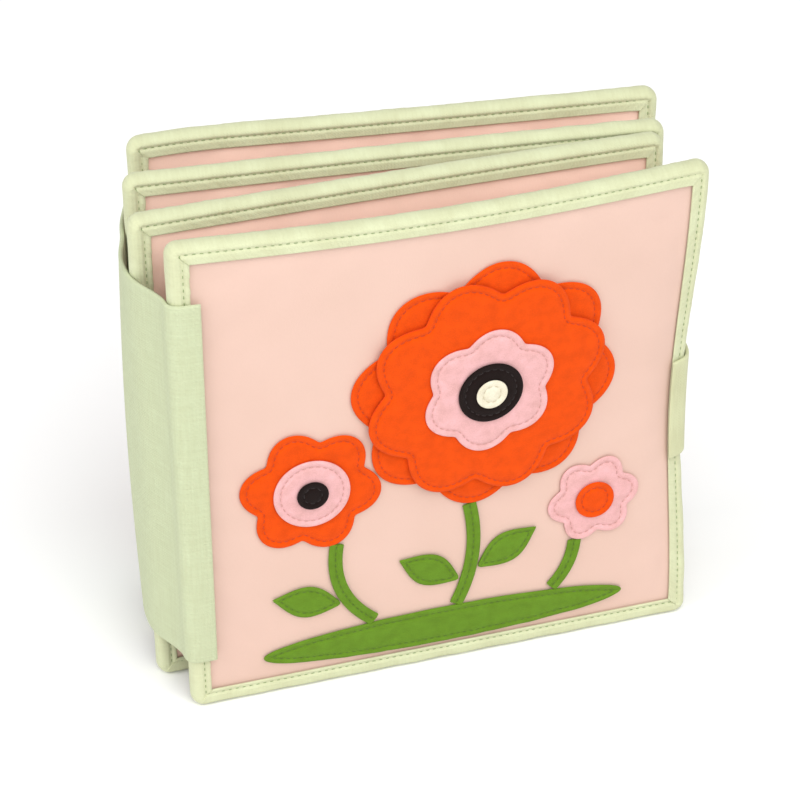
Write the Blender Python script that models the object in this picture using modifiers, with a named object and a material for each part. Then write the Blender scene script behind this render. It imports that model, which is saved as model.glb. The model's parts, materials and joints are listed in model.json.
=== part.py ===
"""Padded cloth book: four square leaves in a linen spine wrap, closed by a cloth strap.

X runs along the front cover from the spine to the fore edge, Y from the front cover to
the rear cover, and Z up. The book stands on its leaves' lower edges, and its origin is
under the middle of its box. Each leaf is two microfibre faces over wadding and a sheet
of crinkle film, bound all round in folded cotton. Felt flowers are sewn to the front.
"""

import math

import bmesh
import bpy
from mathutils import Vector

# Leaves, front to back. Gaps are measured from one leaf's rear to the next one's front.
LEAF_NAMES = ("front_cover", "page_2", "page_3", "rear_cover")
LEAF_WIDTH = 0.200
LEAF_HEIGHT = 0.200
LEAF_CORNER_RADIUS = 0.005
SPINE_GAPS = (0.0142, 0.0211, 0.0232)
FORE_GAPS = (0.0158, 0.0010, 0.0174)
SPINE_SHIFTS = (0.0, -0.0079, -0.0034, 0.0046)

# Layers of a leaf, and the clearance that touching pieces keep.
CLOTH_GAP = 0.0003
FACE_THICKNESS = 0.0008
FILM_THICKNESS = 0.00025
WADDING_THICKNESS = 0.0030
CROWN_HEIGHT = 0.00175
CROWN_RUN = 0.020
CROWN_EASE = 0.0012
CROWN_LINE_SHARES = (0.0, 0.5, 1.0)

# Folded cotton binding round each leaf.
BINDING_THICKNESS = 0.0010
BINDING_WIDTH = 0.0075
BINDING_FOLD_RADIUS = 0.0028
LAYER_EASE = 0.0010
MITRE_RADIUS = 0.0003
MITRE_MERGE_SHARE = 0.1
CORNER_ANGLES_DEG = (0.0, 45.0, 90.0)

# How the leaves hang: the strap pulls, draws in and rolls back the front cover's fore
# edge, and the cover's top edge bows forward. The pages bow a little, and the rear
# cover's spine edge curls to the front.
FORE_PULL = 0.002
FORE_DRAW = 0.0018
FORE_PULL_START_SHARE = 0.55
FORE_ROLL = 0.0055
FORE_ROLL_REACH = 0.020
WAIST_POWER = 2.0
TOP_BOW = 0.0068
TOP_BOW_POWER = 2.0
PAGE_BOWS = (0.0, 0.0008, 0.0008, -0.0010)
SPINE_CURL = 0.0045
SPINE_CURL_REACH = 0.040
MIDDLE_LINE_COUNTS = (9, 1, 1, 1)

# Linen wrap round the leaves' spine ends. Flaps lap onto both covers.
WRAP_HEIGHT = 0.155
WRAP_THICKNESS = 0.0016
FLAP_WIDTH_TOP = 0.0105
FLAP_WIDTH_BOTTOM = 0.0100
CENTRE_BULGE = 0.0034
GUSSET_BULGE = 0.0008
HINGE_MARGIN = 0.00025
HINGE_GAP = 0.0004
FLAP_BEND_STEPS = 4
GUSSET_CELLS = 4
CENTRE_PANEL_CELLS = 6

# Closure strap round the fore edge, and its hook and loop patches.
STRAP_HEIGHT = 0.043
STRAP_MIDDLE_SHARE = 0.475
STRAP_THICKNESS = 0.0015
STRAP_STANDOFF = 0.0035
STRAP_EASE = 0.0010
STRAP_TAB_LENGTH = 0.040
STRAP_CELLS = 4
ANCHOR_ROWS = 4
ANCHOR_BEND_STEPS = 6
PATCH_THICKNESS = 0.0008
PATCH_LENGTH = 0.022
PATCH_HEIGHT = 0.033
PATCH_INSET = 0.012

# Felt pieces on the front cover. Centres are shares of the cover's width and height.
FELT_THICKNESS = 0.0010
PADDED_FELT_THICKNESS = 0.0022
SMALL_FELT_THICKNESS = 0.0009

BIG_FLOWER_CENTRE_SHARES = (0.575, 0.625)
BIG_FLOWER_RADIUS = 0.052
BIG_UPPER_MARGIN = 0.0050
BIG_PETAL_COUNT = 8
BIG_PETAL_DEPTH_SHARE = 0.17
BIG_ROSETTE_RADIUS = 0.0260
BIG_ROSETTE_PETAL_COUNT = 6
BIG_RING_RADIUS = 0.0125
BIG_CENTRE_RADIUS = 0.0060

SIDE_FLOWER_CENTRE_SHARES = (0.240, 0.455)
SIDE_FLOWER_RADIUS = 0.0270
SIDE_ROSETTE_RADIUS = 0.0145
SIDE_CENTRE_RADIUS = 0.0060

LOW_FLOWER_CENTRE_SHARES = (0.800, 0.320)
LOW_FLOWER_RADIUS = 0.0190
LOW_CENTRE_RADIUS = 0.0080

SMALL_PETAL_COUNT = 6
SMALL_PETAL_DEPTH_SHARE = 0.22
PETAL_CELLS = 12
DISC_CELLS = 4

MOUND_CENTRE_SHARES = (0.50, 0.088)
MOUND_HALF_LENGTH = 0.072
MOUND_HALF_HEIGHT = 0.0085
MOUND_CELLS = (10, 4)

# Stems: foot as a share of the cover's width, and sideways bow at mid length.
STEM_WIDTH = 0.0055
STEM_CELLS = 8
BIG_STEM_FOOT_SHARE = 0.52
BIG_STEM_BOW = -0.004
SIDE_STEM_FOOT_SHARE = 0.36
SIDE_STEM_BOW = 0.006
LOW_STEM_FOOT_SHARE = 0.71
LOW_STEM_BOW = -0.002

# Leaves beside the stems: share of the stem's height, and tilt from level to the right.
LEAFLET_LENGTH = 0.027
LEAFLET_HALF_WIDTH = 0.0070
LEAFLET_EASE = 0.0008
LEAFLET_TAPER_POWER = 1.2
LEAFLET_END_SHARES = (0.05, 0.98)
LEAFLET_CELLS = (8, 2)
BIG_LEAF_LEFT_STEM_SHARE = 0.25
BIG_LEAF_LEFT_TILT_DEG = 150.0
BIG_LEAF_RIGHT_STEM_SHARE = 0.35
BIG_LEAF_RIGHT_TILT_DEG = 30.0
SIDE_LEAF_STEM_SHARE = 0.35
SIDE_LEAF_TILT_DEG = 165.0

# Finishes: linear base colour and roughness.
FINISHES = {
    "binding": ((0.72, 0.80, 0.50, 1.0), 0.85),
    "face": ((0.95, 0.66, 0.53, 1.0), 0.70),
    "film": ((0.80, 0.84, 0.86, 1.0), 0.25),
    "wadding": ((0.90, 0.90, 0.88, 1.0), 0.95),
    "linen": ((0.66, 0.78, 0.52, 1.0), 0.90),
    "orange": ((1.00, 0.10, 0.00, 1.0), 0.95),
    "pink": ((0.93, 0.52, 0.60, 1.0), 0.95),
    "black": ((0.012, 0.010, 0.010, 1.0), 0.95),
    "cream": ((0.83, 0.79, 0.66, 1.0), 0.95),
    "green": ((0.11, 0.32, 0.03, 1.0), 0.95),
    "patch": ((0.62, 0.74, 0.50, 1.0), 0.95),
}

# A leaf's thickness: two bindings, two faces, film and wadding, and the gaps between them.
LEAF_GAP_COUNT = 5
LEAF_THICKNESS = (2.0 * (BINDING_THICKNESS + FACE_THICKNESS) + FILM_THICKNESS
                  + WADDING_THICKNESS + LEAF_GAP_COUNT * CLOTH_GAP)
FACE_FRONT = BINDING_THICKNESS + CLOTH_GAP
FILM_FRONT = FACE_FRONT + FACE_THICKNESS + CLOTH_GAP
WADDING_FRONT = FILM_FRONT + FILM_THICKNESS + CLOTH_GAP
CROWN_START = BINDING_WIDTH + CROWN_EASE
LAYER_INSET = BINDING_FOLD_RADIUS + LAYER_EASE
WRAP_BOTTOM = 0.5 * (LEAF_HEIGHT - WRAP_HEIGHT)
STRAP_MIDDLE = STRAP_MIDDLE_SHARE * LEAF_HEIGHT


def smooth(share):
    """Rise from 0 to 1 with no slope at either end."""
    share = min(max(share, 0.0), 1.0)
    return share * share * (3.0 - 2.0 * share)


def blend(start, end, share):
    """Go straight from start to end."""
    return start + (end - start) * share


def waist(height):
    """Share of the strap's hold on the fore edge: all at mid height, none at the corners."""
    return max(math.sin(math.pi * height / LEAF_HEIGHT), 0.0) ** WAIST_POWER


def crown(along, height):
    """Height of a leaf's padding above its rim, from 0 at the binding to full inside."""
    side = min(along, LEAF_WIDTH - along)
    end = min(height, LEAF_HEIGHT - height)
    share = smooth((side - CROWN_START) / CROWN_RUN) * smooth((end - CROWN_START) / CROWN_RUN)
    return CROWN_HEIGHT * share


class Leaf:
    """One leaf's place in plan and its bend, shared by all the layers of the leaf."""

    def __init__(self, index, spine_depth, fore_depth):
        self.name = LEAF_NAMES[index]
        self.index = index
        self.start = Vector((SPINE_SHIFTS[index], spine_depth, 0.0))
        turn = math.asin((fore_depth - spine_depth) / LEAF_WIDTH)
        self.along = Vector((math.cos(turn), math.sin(turn), 0.0))
        self.back = Vector((-math.sin(turn), math.cos(turn), 0.0))

    def bend(self, along, height):
        """Depth that the hanging leaf gives way at this place."""
        share = min(max(along / LEAF_WIDTH, 0.0), 1.0)
        depth = PAGE_BOWS[self.index] * math.sin(math.pi * share)
        if self.index == 0:
            reach = (share - FORE_PULL_START_SHARE) / (1.0 - FORE_PULL_START_SHARE)
            edge = 1.0 - (1.0 - share) * LEAF_WIDTH / FORE_ROLL_REACH
            held = FORE_PULL * max(reach, 0.0) ** 2 + FORE_ROLL * max(edge, 0.0) ** 2
            bowed = TOP_BOW * max(height / LEAF_HEIGHT, 0.0) ** TOP_BOW_POWER
            depth += held * waist(height) - bowed * math.sin(math.pi * share)
        if self.index == len(LEAF_NAMES) - 1:
            curl = max(1.0 - share * LEAF_WIDTH / SPINE_CURL_REACH, 0.0) ** 2
            depth -= SPINE_CURL * curl
        return depth

    def place(self, along, depth, height):
        """World point of a place on the leaf: along it, behind its front, up."""
        drawn = along
        if self.index == 0:
            drawn -= FORE_DRAW * waist(height) * (along / LEAF_WIDTH) ** 2
        point = self.start + self.along * drawn
        point += self.back * (depth + self.bend(along, height))
        point.z = height
        return point

    def front(self, along, height):
        """Depth of the front face's outer side."""
        return FACE_FRONT - crown(along, height)

    def rear(self, along, height):
        """Depth of the rear face's outer side."""
        return LEAF_THICKNESS - FACE_FRONT + crown(along, height)

    def lines(self, length):
        """Places of the grid lines across a leaf of this length."""
        near = [CROWN_START + CROWN_RUN * share for share in CROWN_LINE_SHARES]
        if self.index == 0:
            near = [BINDING_WIDTH] + near
        near = [LAYER_INSET] + near
        count = MIDDLE_LINE_COUNTS[self.index]
        first, last = near[-1], length - near[-1]
        middle = [blend(first, last, (i + 1) / (count + 1)) for i in range(count)]
        return near + middle + [length - line for line in reversed(near)]

    def rim_lines(self, length):
        """Those of the grid lines that are clear of the binding's mitred corners."""
        clear = BINDING_WIDTH + 0.5 * CROWN_EASE
        return [line for line in self.lines(length) if min(line, length - line) > clear]


def make_leaves():
    """Lay the four leaves out one behind another."""
    leaves = []
    spine_depth = 0.0
    fore_depth = 0.0
    for index in range(len(LEAF_NAMES)):
        leaves.append(Leaf(index, spine_depth, fore_depth))
        if index < len(SPINE_GAPS):
            spine_depth += LEAF_THICKNESS + SPINE_GAPS[index]
            fore_depth += LEAF_THICKNESS + FORE_GAPS[index]
    return leaves


class Book:
    """Collection, finishes and pivots that the pieces are added to."""

    def __init__(self):
        self.parts = bpy.data.collections.new("cloth_book")
        bpy.context.scene.collection.children.link(self.parts)
        self.pivots = {}
        self.root = bpy.data.objects.new("book_origin", None)
        self.parts.objects.link(self.root)

    def add_pivot(self, name, point, parent=None):
        """Put an empty on a hinge line, carried by its parent's empty."""
        pivot = bpy.data.objects.new(name, None)
        self.parts.objects.link(pivot)
        pivot.empty_display_size = BINDING_WIDTH
        if parent is None:
            pivot.parent = self.root
            pivot.location = point
        else:
            pivot.parent = self.pivots[parent][0]
            pivot.location = point - self.pivots[parent][1]
        self.pivots[name] = (pivot, point)

    def add_piece(self, name, mesh, pivot, finish):
        """Make a mesh in the book's frame into a named piece on a pivot."""
        empty, point = self.pivots[pivot]
        bmesh.ops.translate(mesh, verts=mesh.verts, vec=-point)
        data = bpy.data.meshes.new(name)
        mesh.to_mesh(data)
        mesh.free()
        data.shade_smooth()
        piece = bpy.data.objects.new(name, data)
        self.parts.objects.link(piece)
        piece.parent = empty
        material = bpy.data.materials.new(name)
        material.use_nodes = True
        shader = material.node_tree.nodes["Principled BSDF"]
        color, roughness = FINISHES[finish]
        shader.inputs["Base Color"].default_value = color
        shader.inputs["Roughness"].default_value = roughness
        material.diffuse_color = color
        data.materials.append(material)
        return piece

    def centre(self):
        """Move the book so that the origin is under the middle of its box."""
        bpy.context.view_layer.update()
        graph = bpy.context.evaluated_depsgraph_get()
        low = Vector((math.inf,) * 3)
        high = Vector((-math.inf,) * 3)
        for piece in self.parts.objects:
            if piece.type != "MESH":
                continue
            evaluated = piece.evaluated_get(graph)
            for corner in evaluated.bound_box:
                point = piece.matrix_world @ Vector(corner)
                low = Vector(map(min, low, point))
                high = Vector(map(max, high, point))
        middle = 0.5 * (low + high)
        self.root.location = Vector((-middle.x, -middle.y, -low.z))


def mapped_grid(columns, rows, place):
    """Grid of cells whose corners go where place says, from their shares of each side."""
    mesh = bmesh.new()
    bmesh.ops.create_grid(mesh, x_segments=columns, y_segments=rows, size=1.0)
    for vert in mesh.verts:
        across = 0.5 * (vert.co.x + 1.0)
        up = 0.5 * (vert.co.y + 1.0)
        vert.co = place(across, up)
    return mesh


def thicken(piece, thickness, side):
    """Give an open surface its thickness: side 1 in front of it, -1 behind, 0 both."""
    shell = piece.modifiers.new("Thickness", "SOLIDIFY")
    shell.thickness = thickness
    shell.offset = side
    shell.use_even_offset = True
    return shell


def line_at(lines, share):
    """Read a list of evenly counted lines at a share of its length."""
    return lines[round(share * (len(lines) - 1))]


def clip_corner(along, height):
    """Draw a layer's square corner in, to stay inside the binding's round corner."""
    radius = LEAF_CORNER_RADIUS - BINDING_FOLD_RADIUS - CLOTH_GAP
    reach = LEAF_CORNER_RADIUS - max(radius, MITRE_RADIUS) * math.sqrt(0.5)
    if min(along, LEAF_WIDTH - along) > LAYER_INSET + CLOTH_GAP:
        return along, height
    if min(height, LEAF_HEIGHT - height) > LAYER_INSET + CLOTH_GAP:
        return along, height
    along = min(max(along, reach), LEAF_WIDTH - reach)
    height = min(max(height, reach), LEAF_HEIGHT - reach)
    return along, height


def add_layer(book, leaf, name, finish, depth_at, thickness, side):
    """Add one cloth layer of a leaf, which follows the leaf's crown and bend."""
    columns = leaf.lines(LEAF_WIDTH)
    rows = leaf.lines(LEAF_HEIGHT)

    def place(across, up):
        along, height = clip_corner(line_at(columns, across), line_at(rows, up))
        return leaf.place(along, depth_at(along, height), height)

    mesh = mapped_grid(len(columns) - 1, len(rows) - 1, place)
    piece = book.add_piece(f"{leaf.name}_{name}", mesh, f"{leaf.name}_pivot", finish)
    thicken(piece, thickness, side)
    return piece


def add_wadding(book, leaf):
    """Add a leaf's wadding, thin under the binding and full in the middle."""
    middle = WADDING_FRONT + 0.5 * WADDING_THICKNESS
    full = WADDING_THICKNESS + 2.0 * CROWN_HEIGHT
    piece = add_layer(book, leaf, "wadding", "wadding", lambda *_: middle, full, 0.0)
    group = piece.vertex_groups.new(name="fullness")
    columns = leaf.lines(LEAF_WIDTH)
    rows = leaf.lines(LEAF_HEIGHT)
    unit = mapped_grid(len(columns) - 1, len(rows) - 1, lambda a, b: Vector((a, b, 0.0)))
    for vert in unit.verts:
        along, height = line_at(columns, vert.co.x), line_at(rows, vert.co.y)
        share = (WADDING_THICKNESS + 2.0 * crown(along, height)) / full
        group.add([vert.index], share, "REPLACE")
    unit.free()
    shell = piece.modifiers["Thickness"]
    shell.vertex_group = group.name
    shell.use_even_offset = False


def binding_section():
    """Outer side of the folded binding: inward distance and depth, front to rear."""
    fold = BINDING_FOLD_RADIUS
    chord = (1.0 - math.sqrt(0.5)) * fold
    front = [(BINDING_WIDTH, 0.0), (fold, 0.0), (chord, chord), (0.0, fold)]
    rear = [(inward, LEAF_THICKNESS - depth) for inward, depth in reversed(front)]
    return front + rear


def rim_stations(leaf):
    """Places round a leaf's rim, each a function of the inward distance from the rim."""
    def corner(right, top, angle):
        def at(inward):
            radius = max(LEAF_CORNER_RADIUS - inward, MITRE_RADIUS)
            reach = inward + radius
            along = reach - radius * math.cos(angle)
            height = reach - radius * math.sin(angle)
            return (LEAF_WIDTH - along if right else along,
                    LEAF_HEIGHT - height if top else height)
        return at

    angles = [math.radians(angle) for angle in CORNER_ANGLES_DEG]
    columns = leaf.rim_lines(LEAF_WIDTH)
    rows = leaf.rim_lines(LEAF_HEIGHT)
    stations = [corner(False, False, angle) for angle in angles]
    stations += [lambda inward, u=u: (u, inward) for u in columns]
    stations += [corner(True, False, angle) for angle in reversed(angles)]
    stations += [lambda inward, z=z: (LEAF_WIDTH - inward, z) for z in rows]
    stations += [corner(True, True, angle) for angle in angles]
    stations += [lambda inward, u=u: (u, LEAF_HEIGHT - inward) for u in reversed(columns)]
    stations += [corner(False, True, angle) for angle in reversed(angles)]
    stations += [lambda inward, z=z: (inward, z) for z in reversed(rows)]
    return stations


def add_binding(book, leaf):
    """Add the binding: its section carried round the rim, then given its thickness."""
    section = binding_section()
    stations = rim_stations(leaf)

    def place(across, up):
        index = round(across * len(stations)) % len(stations)
        inward, depth = section[round(up * (len(section) - 1))]
        along, height = stations[index](inward)
        return leaf.place(along, depth, height)

    mesh = mapped_grid(len(stations), len(section) - 1, place)
    bmesh.ops.remove_doubles(mesh, verts=mesh.verts, dist=MITRE_MERGE_SHARE * MITRE_RADIUS)
    bmesh.ops.reverse_faces(mesh, faces=mesh.faces)
    piece = book.add_piece(f"{leaf.name}_binding", mesh, f"{leaf.name}_pivot", "binding")
    thicken(piece, BINDING_THICKNESS, -1.0)


def add_leaf(book, leaf):
    """Add a leaf's five layers, from its front face to its binding."""
    add_layer(book, leaf, "front_face", "face", leaf.front, FACE_THICKNESS, -1.0)
    add_layer(book, leaf, "rear_face", "face", leaf.rear, FACE_THICKNESS, 1.0)
    ahead = FILM_FRONT - FACE_FRONT
    add_layer(book, leaf, "crinkle_film", "film",
              lambda along, height: leaf.front(along, height) + ahead, FILM_THICKNESS, -1.0)
    add_wadding(book, leaf)
    add_binding(book, leaf)


def hinge_point(leaf, rear):
    """Plan point of a fold in the wrap, beside the front or rear of a leaf's spine end."""
    depth = LEAF_THICKNESS if rear else 0.0
    corner = leaf.place(0.0, depth, STRAP_MIDDLE)
    point = corner - leaf.along * (CLOTH_GAP + WRAP_THICKNESS + HINGE_MARGIN)
    point.z = 0.0
    return point


class WrapSpan:
    """Stretch of the wrap between two folds, which bulges a little outwards."""

    def __init__(self, start, end, bulge):
        self.start = start
        self.run = end - start
        self.bulge = bulge
        self.outward = Vector((-self.run.y, self.run.x, 0.0)).normalized()
        self.trims = [0.5 * HINGE_GAP, 0.5 * HINGE_GAP]

    def heading(self, at_end):
        """Direction in plan at one end, as an angle."""
        lean = math.atan(4.0 * self.bulge / self.run.length)
        return math.atan2(self.run.y, self.run.x) + (-lean if at_end else lean)

    def ease_fold(self, following):
        """Trim both stretches at their fold where their inner sides would meet."""
        turn = self.heading(True) - following.heading(False)
        if turn > 0.0:
            trim = WRAP_THICKNESS * math.tan(0.5 * turn)
            self.trims[1] += trim
            following.trims[0] += trim

    def place(self, share, up):
        """World point of the outer side."""
        swell = 4.0 * self.bulge * share * (1.0 - share)
        point = self.start + self.run * share + self.outward * (swell - HINGE_MARGIN)
        point.z = WRAP_BOTTOM + WRAP_HEIGHT * up
        return point

    def add(self, book, name, pivot, segments):
        """Add the stretch as a piece of cloth."""
        first = self.trims[0] / self.run.length
        last = 1.0 - self.trims[1] / self.run.length
        mesh = mapped_grid(segments, 2,
                           lambda across, up: self.place(blend(last, first, across), up))
        piece = book.add_piece(name, mesh, pivot, "linen")
        thicken(piece, WRAP_THICKNESS, -1.0)


def add_flap(book, name, leaf, rear, pivot):
    """Add the end of the wrap, which laps round a cover's corner onto its outer face."""
    outer = CLOTH_GAP + WRAP_THICKNESS
    fold = BINDING_FOLD_RADIUS
    section = [(-outer, LEAF_THICKNESS - 0.5 * HINGE_GAP), (-outer, fold)]
    for step in range(1, FLAP_BEND_STEPS + 1):
        angle = 0.5 * math.pi * step / FLAP_BEND_STEPS
        reach = fold + outer
        section.append((fold - reach * math.cos(angle), fold - reach * math.sin(angle)))
    section.append((None, -outer))

    def place(across, up):
        along, depth = section[round(across * (len(section) - 1))]
        if along is None:
            along = blend(FLAP_WIDTH_BOTTOM, FLAP_WIDTH_TOP, up)
        height = WRAP_BOTTOM + WRAP_HEIGHT * up
        if rear:
            depth = LEAF_THICKNESS - depth
        return leaf.place(along, depth, height)

    mesh = mapped_grid(len(section) - 1, 2, place)
    if rear:
        bmesh.ops.reverse_faces(mesh, faces=mesh.faces)
    piece = book.add_piece(name, mesh, pivot, "linen")
    thicken(piece, WRAP_THICKNESS, -1.0)


def strap_levels(up):
    """Height of a point of the strap, at a share of the strap's own height."""
    return STRAP_MIDDLE + STRAP_HEIGHT * (up - 0.5)


def tab_depth():
    """Depth of the tab's inner side behind the rear cover, with both patches between."""
    stack = 2.0 * PATCH_THICKNESS + 3.0 * CLOTH_GAP
    return LEAF_THICKNESS - FACE_FRONT + CROWN_HEIGHT + stack


class Strap:
    """Closure strap: an anchor on the front cover, a leg, and a tab on the rear cover."""

    def __init__(self, leaves):
        self.cover = leaves[0]
        self.last = leaves[-1]
        rim = self.cover.place(LEAF_WIDTH, 0.5 * LEAF_THICKNESS, STRAP_MIDDLE)
        self.start = Vector((rim.x + STRAP_STANDOFF + STRAP_THICKNESS,
                             rim.y + LEAF_THICKNESS, 0.0))
        fore = max(self.last.place(LEAF_WIDTH, depth, STRAP_MIDDLE).x
                   for depth in (0.0, LEAF_THICKNESS))
        across = fore + STRAP_EASE + STRAP_THICKNESS
        corner = self.last.place(LEAF_WIDTH, tab_depth(), STRAP_MIDDLE)
        self.tab_start = LEAF_WIDTH + (across - corner.x) / self.last.along.x
        self.end = self.last.place(self.tab_start, tab_depth(), STRAP_MIDDLE)
        self.end.z = 0.0
        self.along = (self.end - self.start).normalized()
        outward = Vector((self.along.y, -self.along.x, 0.0))
        self.swing_pivot = self.start + outward * HINGE_MARGIN
        self.tab_pivot = self.end + outward * HINGE_MARGIN

    def anchor_place(self, across, up):
        """Outer side of the anchor: flat on the binding, then round the fore edge."""
        lift = CLOTH_GAP + STRAP_THICKNESS
        step = round(across * (ANCHOR_BEND_STEPS + 1)) - 1
        height = strap_levels(up)
        if step < 0:
            return self.cover.place(LEAF_WIDTH - BINDING_WIDTH, -lift, height)
        edge = self.cover.place(LEAF_WIDTH - BINDING_FOLD_RADIUS, -lift, height)
        angle = 0.5 * math.pi * step / ANCHOR_BEND_STEPS
        back = self.start.y - 0.5 * HINGE_GAP - edge.y
        return Vector((edge.x + (self.start.x - edge.x) * math.sin(angle),
                       edge.y + back * (1.0 - math.cos(angle)), height))

    def leg_place(self, across, up):
        """Outer side of the leg, straight across the leaves' fore edges."""
        run = (self.end - self.start).length - HINGE_GAP
        point = self.start + self.along * (0.5 * HINGE_GAP + run * across)
        point.z = strap_levels(up)
        return point

    def tab_place(self, across, up):
        """Inner side of the tab, behind the rear cover."""
        along = self.tab_start - STRAP_TAB_LENGTH * across
        return self.last.place(along, tab_depth() + 0.5 * HINGE_GAP, strap_levels(up))

    def add(self, book):
        """Add the three stretches of the strap."""
        mesh = mapped_grid(ANCHOR_BEND_STEPS + 1, ANCHOR_ROWS, self.anchor_place)
        piece = book.add_piece("strap_anchor", mesh, "front_cover_pivot", "linen")
        thicken(piece, STRAP_THICKNESS, -1.0)
        mesh = mapped_grid(STRAP_CELLS, 2, self.leg_place)
        piece = book.add_piece("strap_leg", mesh, "strap_pivot", "linen")
        thicken(piece, STRAP_THICKNESS, -1.0)
        mesh = mapped_grid(STRAP_CELLS, 2, self.tab_place)
        piece = book.add_piece("strap_tab", mesh, "strap_tab_pivot", "linen")
        thicken(piece, STRAP_THICKNESS, 1.0)


def add_patches(book, last):
    """Add the loop patch on the rear cover and the hook patch on the tab, face to face."""
    end = LEAF_WIDTH - PATCH_INSET

    def patch(depth_at):
        def place(across, up):
            along = end - PATCH_LENGTH * (1.0 - across)
            height = STRAP_MIDDLE + PATCH_HEIGHT * (up - 0.5)
            return last.place(along, depth_at(along, height), height)
        return mapped_grid(STRAP_CELLS, 1, place)

    mesh = patch(lambda along, height: last.rear(along, height) + CLOTH_GAP)
    piece = book.add_piece("loop_patch", mesh, "rear_cover_pivot", "patch")
    thicken(piece, PATCH_THICKNESS, -1.0)
    mesh = patch(lambda along, height: tab_depth() - CLOTH_GAP)
    piece = book.add_piece("hook_patch", mesh, "strap_tab_pivot", "patch")
    thicken(piece, PATCH_THICKNESS, 1.0)


def disc_point(across, up):
    """Map a square's point to a round disc's, with even spacing: direction and reach."""
    x, y = 2.0 * across - 1.0, 2.0 * up - 1.0
    reach = max(abs(x), abs(y))
    if reach == 0.0:
        return 0.0, 0.0
    if abs(x) >= abs(y):
        angle = 0.25 * math.pi * y / x
        angle += math.pi if x < 0.0 else 0.0
    else:
        angle = 0.5 * math.pi - 0.25 * math.pi * x / y
        angle += math.pi if y < 0.0 else 0.0
    return angle, reach


class Felt:
    """Felt pieces sewn to the front cover, each laid on the level below it."""

    def __init__(self, book, cover):
        self.book = book
        self.cover = cover

    def add(self, name, finish, segments, outline, lift, thickness):
        """Add a felt piece whose outline gives along and up from two shares."""
        def place(across, up):
            along, height = outline(across, up)
            depth = self.cover.front(along, height) - CLOTH_GAP - lift
            return self.cover.place(along, depth, height)

        mesh = mapped_grid(segments[0], segments[1], place)
        piece = self.book.add_piece(name, mesh, "front_cover_pivot", finish)
        thicken(piece, thickness, 1.0)

    def add_leaflet(self, name, stem, up, right, tilt_deg):
        """Add a pointed leaf beside a stem, at a share of its height, tilted upwards."""
        tilt = math.radians(tilt_deg)
        edge = stem(1.0 if right else 0.0, up)
        base = (edge[0] + LEAFLET_EASE * math.cos(tilt), edge[1] + LEAFLET_EASE * math.sin(tilt))

        def outline(across, up):
            width = math.sin(math.pi * blend(*LEAFLET_END_SHARES, across)) ** LEAFLET_TAPER_POWER
            sideways = LEAFLET_HALF_WIDTH * (2.0 * up - 1.0) * width
            forward = LEAFLET_LENGTH * across
            return (base[0] + forward * math.cos(tilt) - sideways * math.sin(tilt),
                    base[1] + forward * math.sin(tilt) + sideways * math.cos(tilt))

        self.add(name, "green", LEAFLET_CELLS, outline, 0.0, FELT_THICKNESS)


def share_point(shares):
    """Point of the front cover at shares of its width and height."""
    return shares[0] * LEAF_WIDTH, shares[1] * LEAF_HEIGHT


def mound_top(along):
    """Height of the green mound's upper edge."""
    middle, level = share_point(MOUND_CENTRE_SHARES)
    share = (along - middle) / MOUND_HALF_LENGTH
    return level + MOUND_HALF_HEIGHT * math.sqrt(max(1.0 - share * share, 0.0))


def add_mound(felt):
    """Add the low green mound that the stems stand on."""
    middle = share_point(MOUND_CENTRE_SHARES)

    def outline(across, up):
        angle, reach = disc_point(across, up)
        return (middle[0] + MOUND_HALF_LENGTH * reach * math.cos(angle),
                middle[1] + MOUND_HALF_HEIGHT * reach * math.sin(angle))

    felt.add("grass_mound", "green", MOUND_CELLS, outline, 0.0, FELT_THICKNESS)


class Flower:
    """A stem, and round felt pieces laid one on another with a petal over the stem."""

    def __init__(self, felt, centre_shares, radius, foot_share):
        self.felt = felt
        self.centre = share_point(centre_shares)
        self.radius = radius
        foot = foot_share * LEAF_WIDTH
        self.run = (foot - self.centre[0], mound_top(foot) - self.centre[1])
        self.length = math.hypot(*self.run)
        self.stem_angle = math.atan2(self.run[1], self.run[0])
        self.lift = 0.0

    def add(self, name, finish, radius, thickness, petals=0, depth_share=0.0, turn=0.0):
        """Add a layer: a disc, or a petalled piece with sharp valleys between its lobes."""
        def outline(across, up):
            angle, reach = disc_point(across, up)
            lobe = abs(math.cos(0.5 * petals * angle))
            size = radius * (1.0 - depth_share * (1.0 - lobe)) * reach
            heading = angle + self.stem_angle + turn
            return (self.centre[0] + size * math.cos(heading),
                    self.centre[1] + size * math.sin(heading))

        cells = PETAL_CELLS if petals else DISC_CELLS
        self.felt.add(name, finish, (cells, cells), outline, self.lift, thickness)
        self.lift += thickness + CLOTH_GAP

    def add_stem(self, name, bow):
        """Add the stem, bowed sideways, and return its outline."""
        dip = 0.5 * STEM_WIDTH * abs(self.run[0]) / self.length
        low_share = 1.0 - (CLOTH_GAP + dip) / self.length
        top_share = (self.radius + CLOTH_GAP) / self.length
        side = (self.run[1] / self.length, -self.run[0] / self.length)

        def outline(across, up):
            reach = blend(low_share, top_share, up)
            shift = STEM_WIDTH * (across - 0.5) - 4.0 * bow * up * (1.0 - up)
            return (self.centre[0] + self.run[0] * reach - side[0] * shift,
                    self.centre[1] + self.run[1] * reach - side[1] * shift)

        self.felt.add(name, "green", (1, STEM_CELLS), outline, 0.0, FELT_THICKNESS)
        return outline


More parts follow.
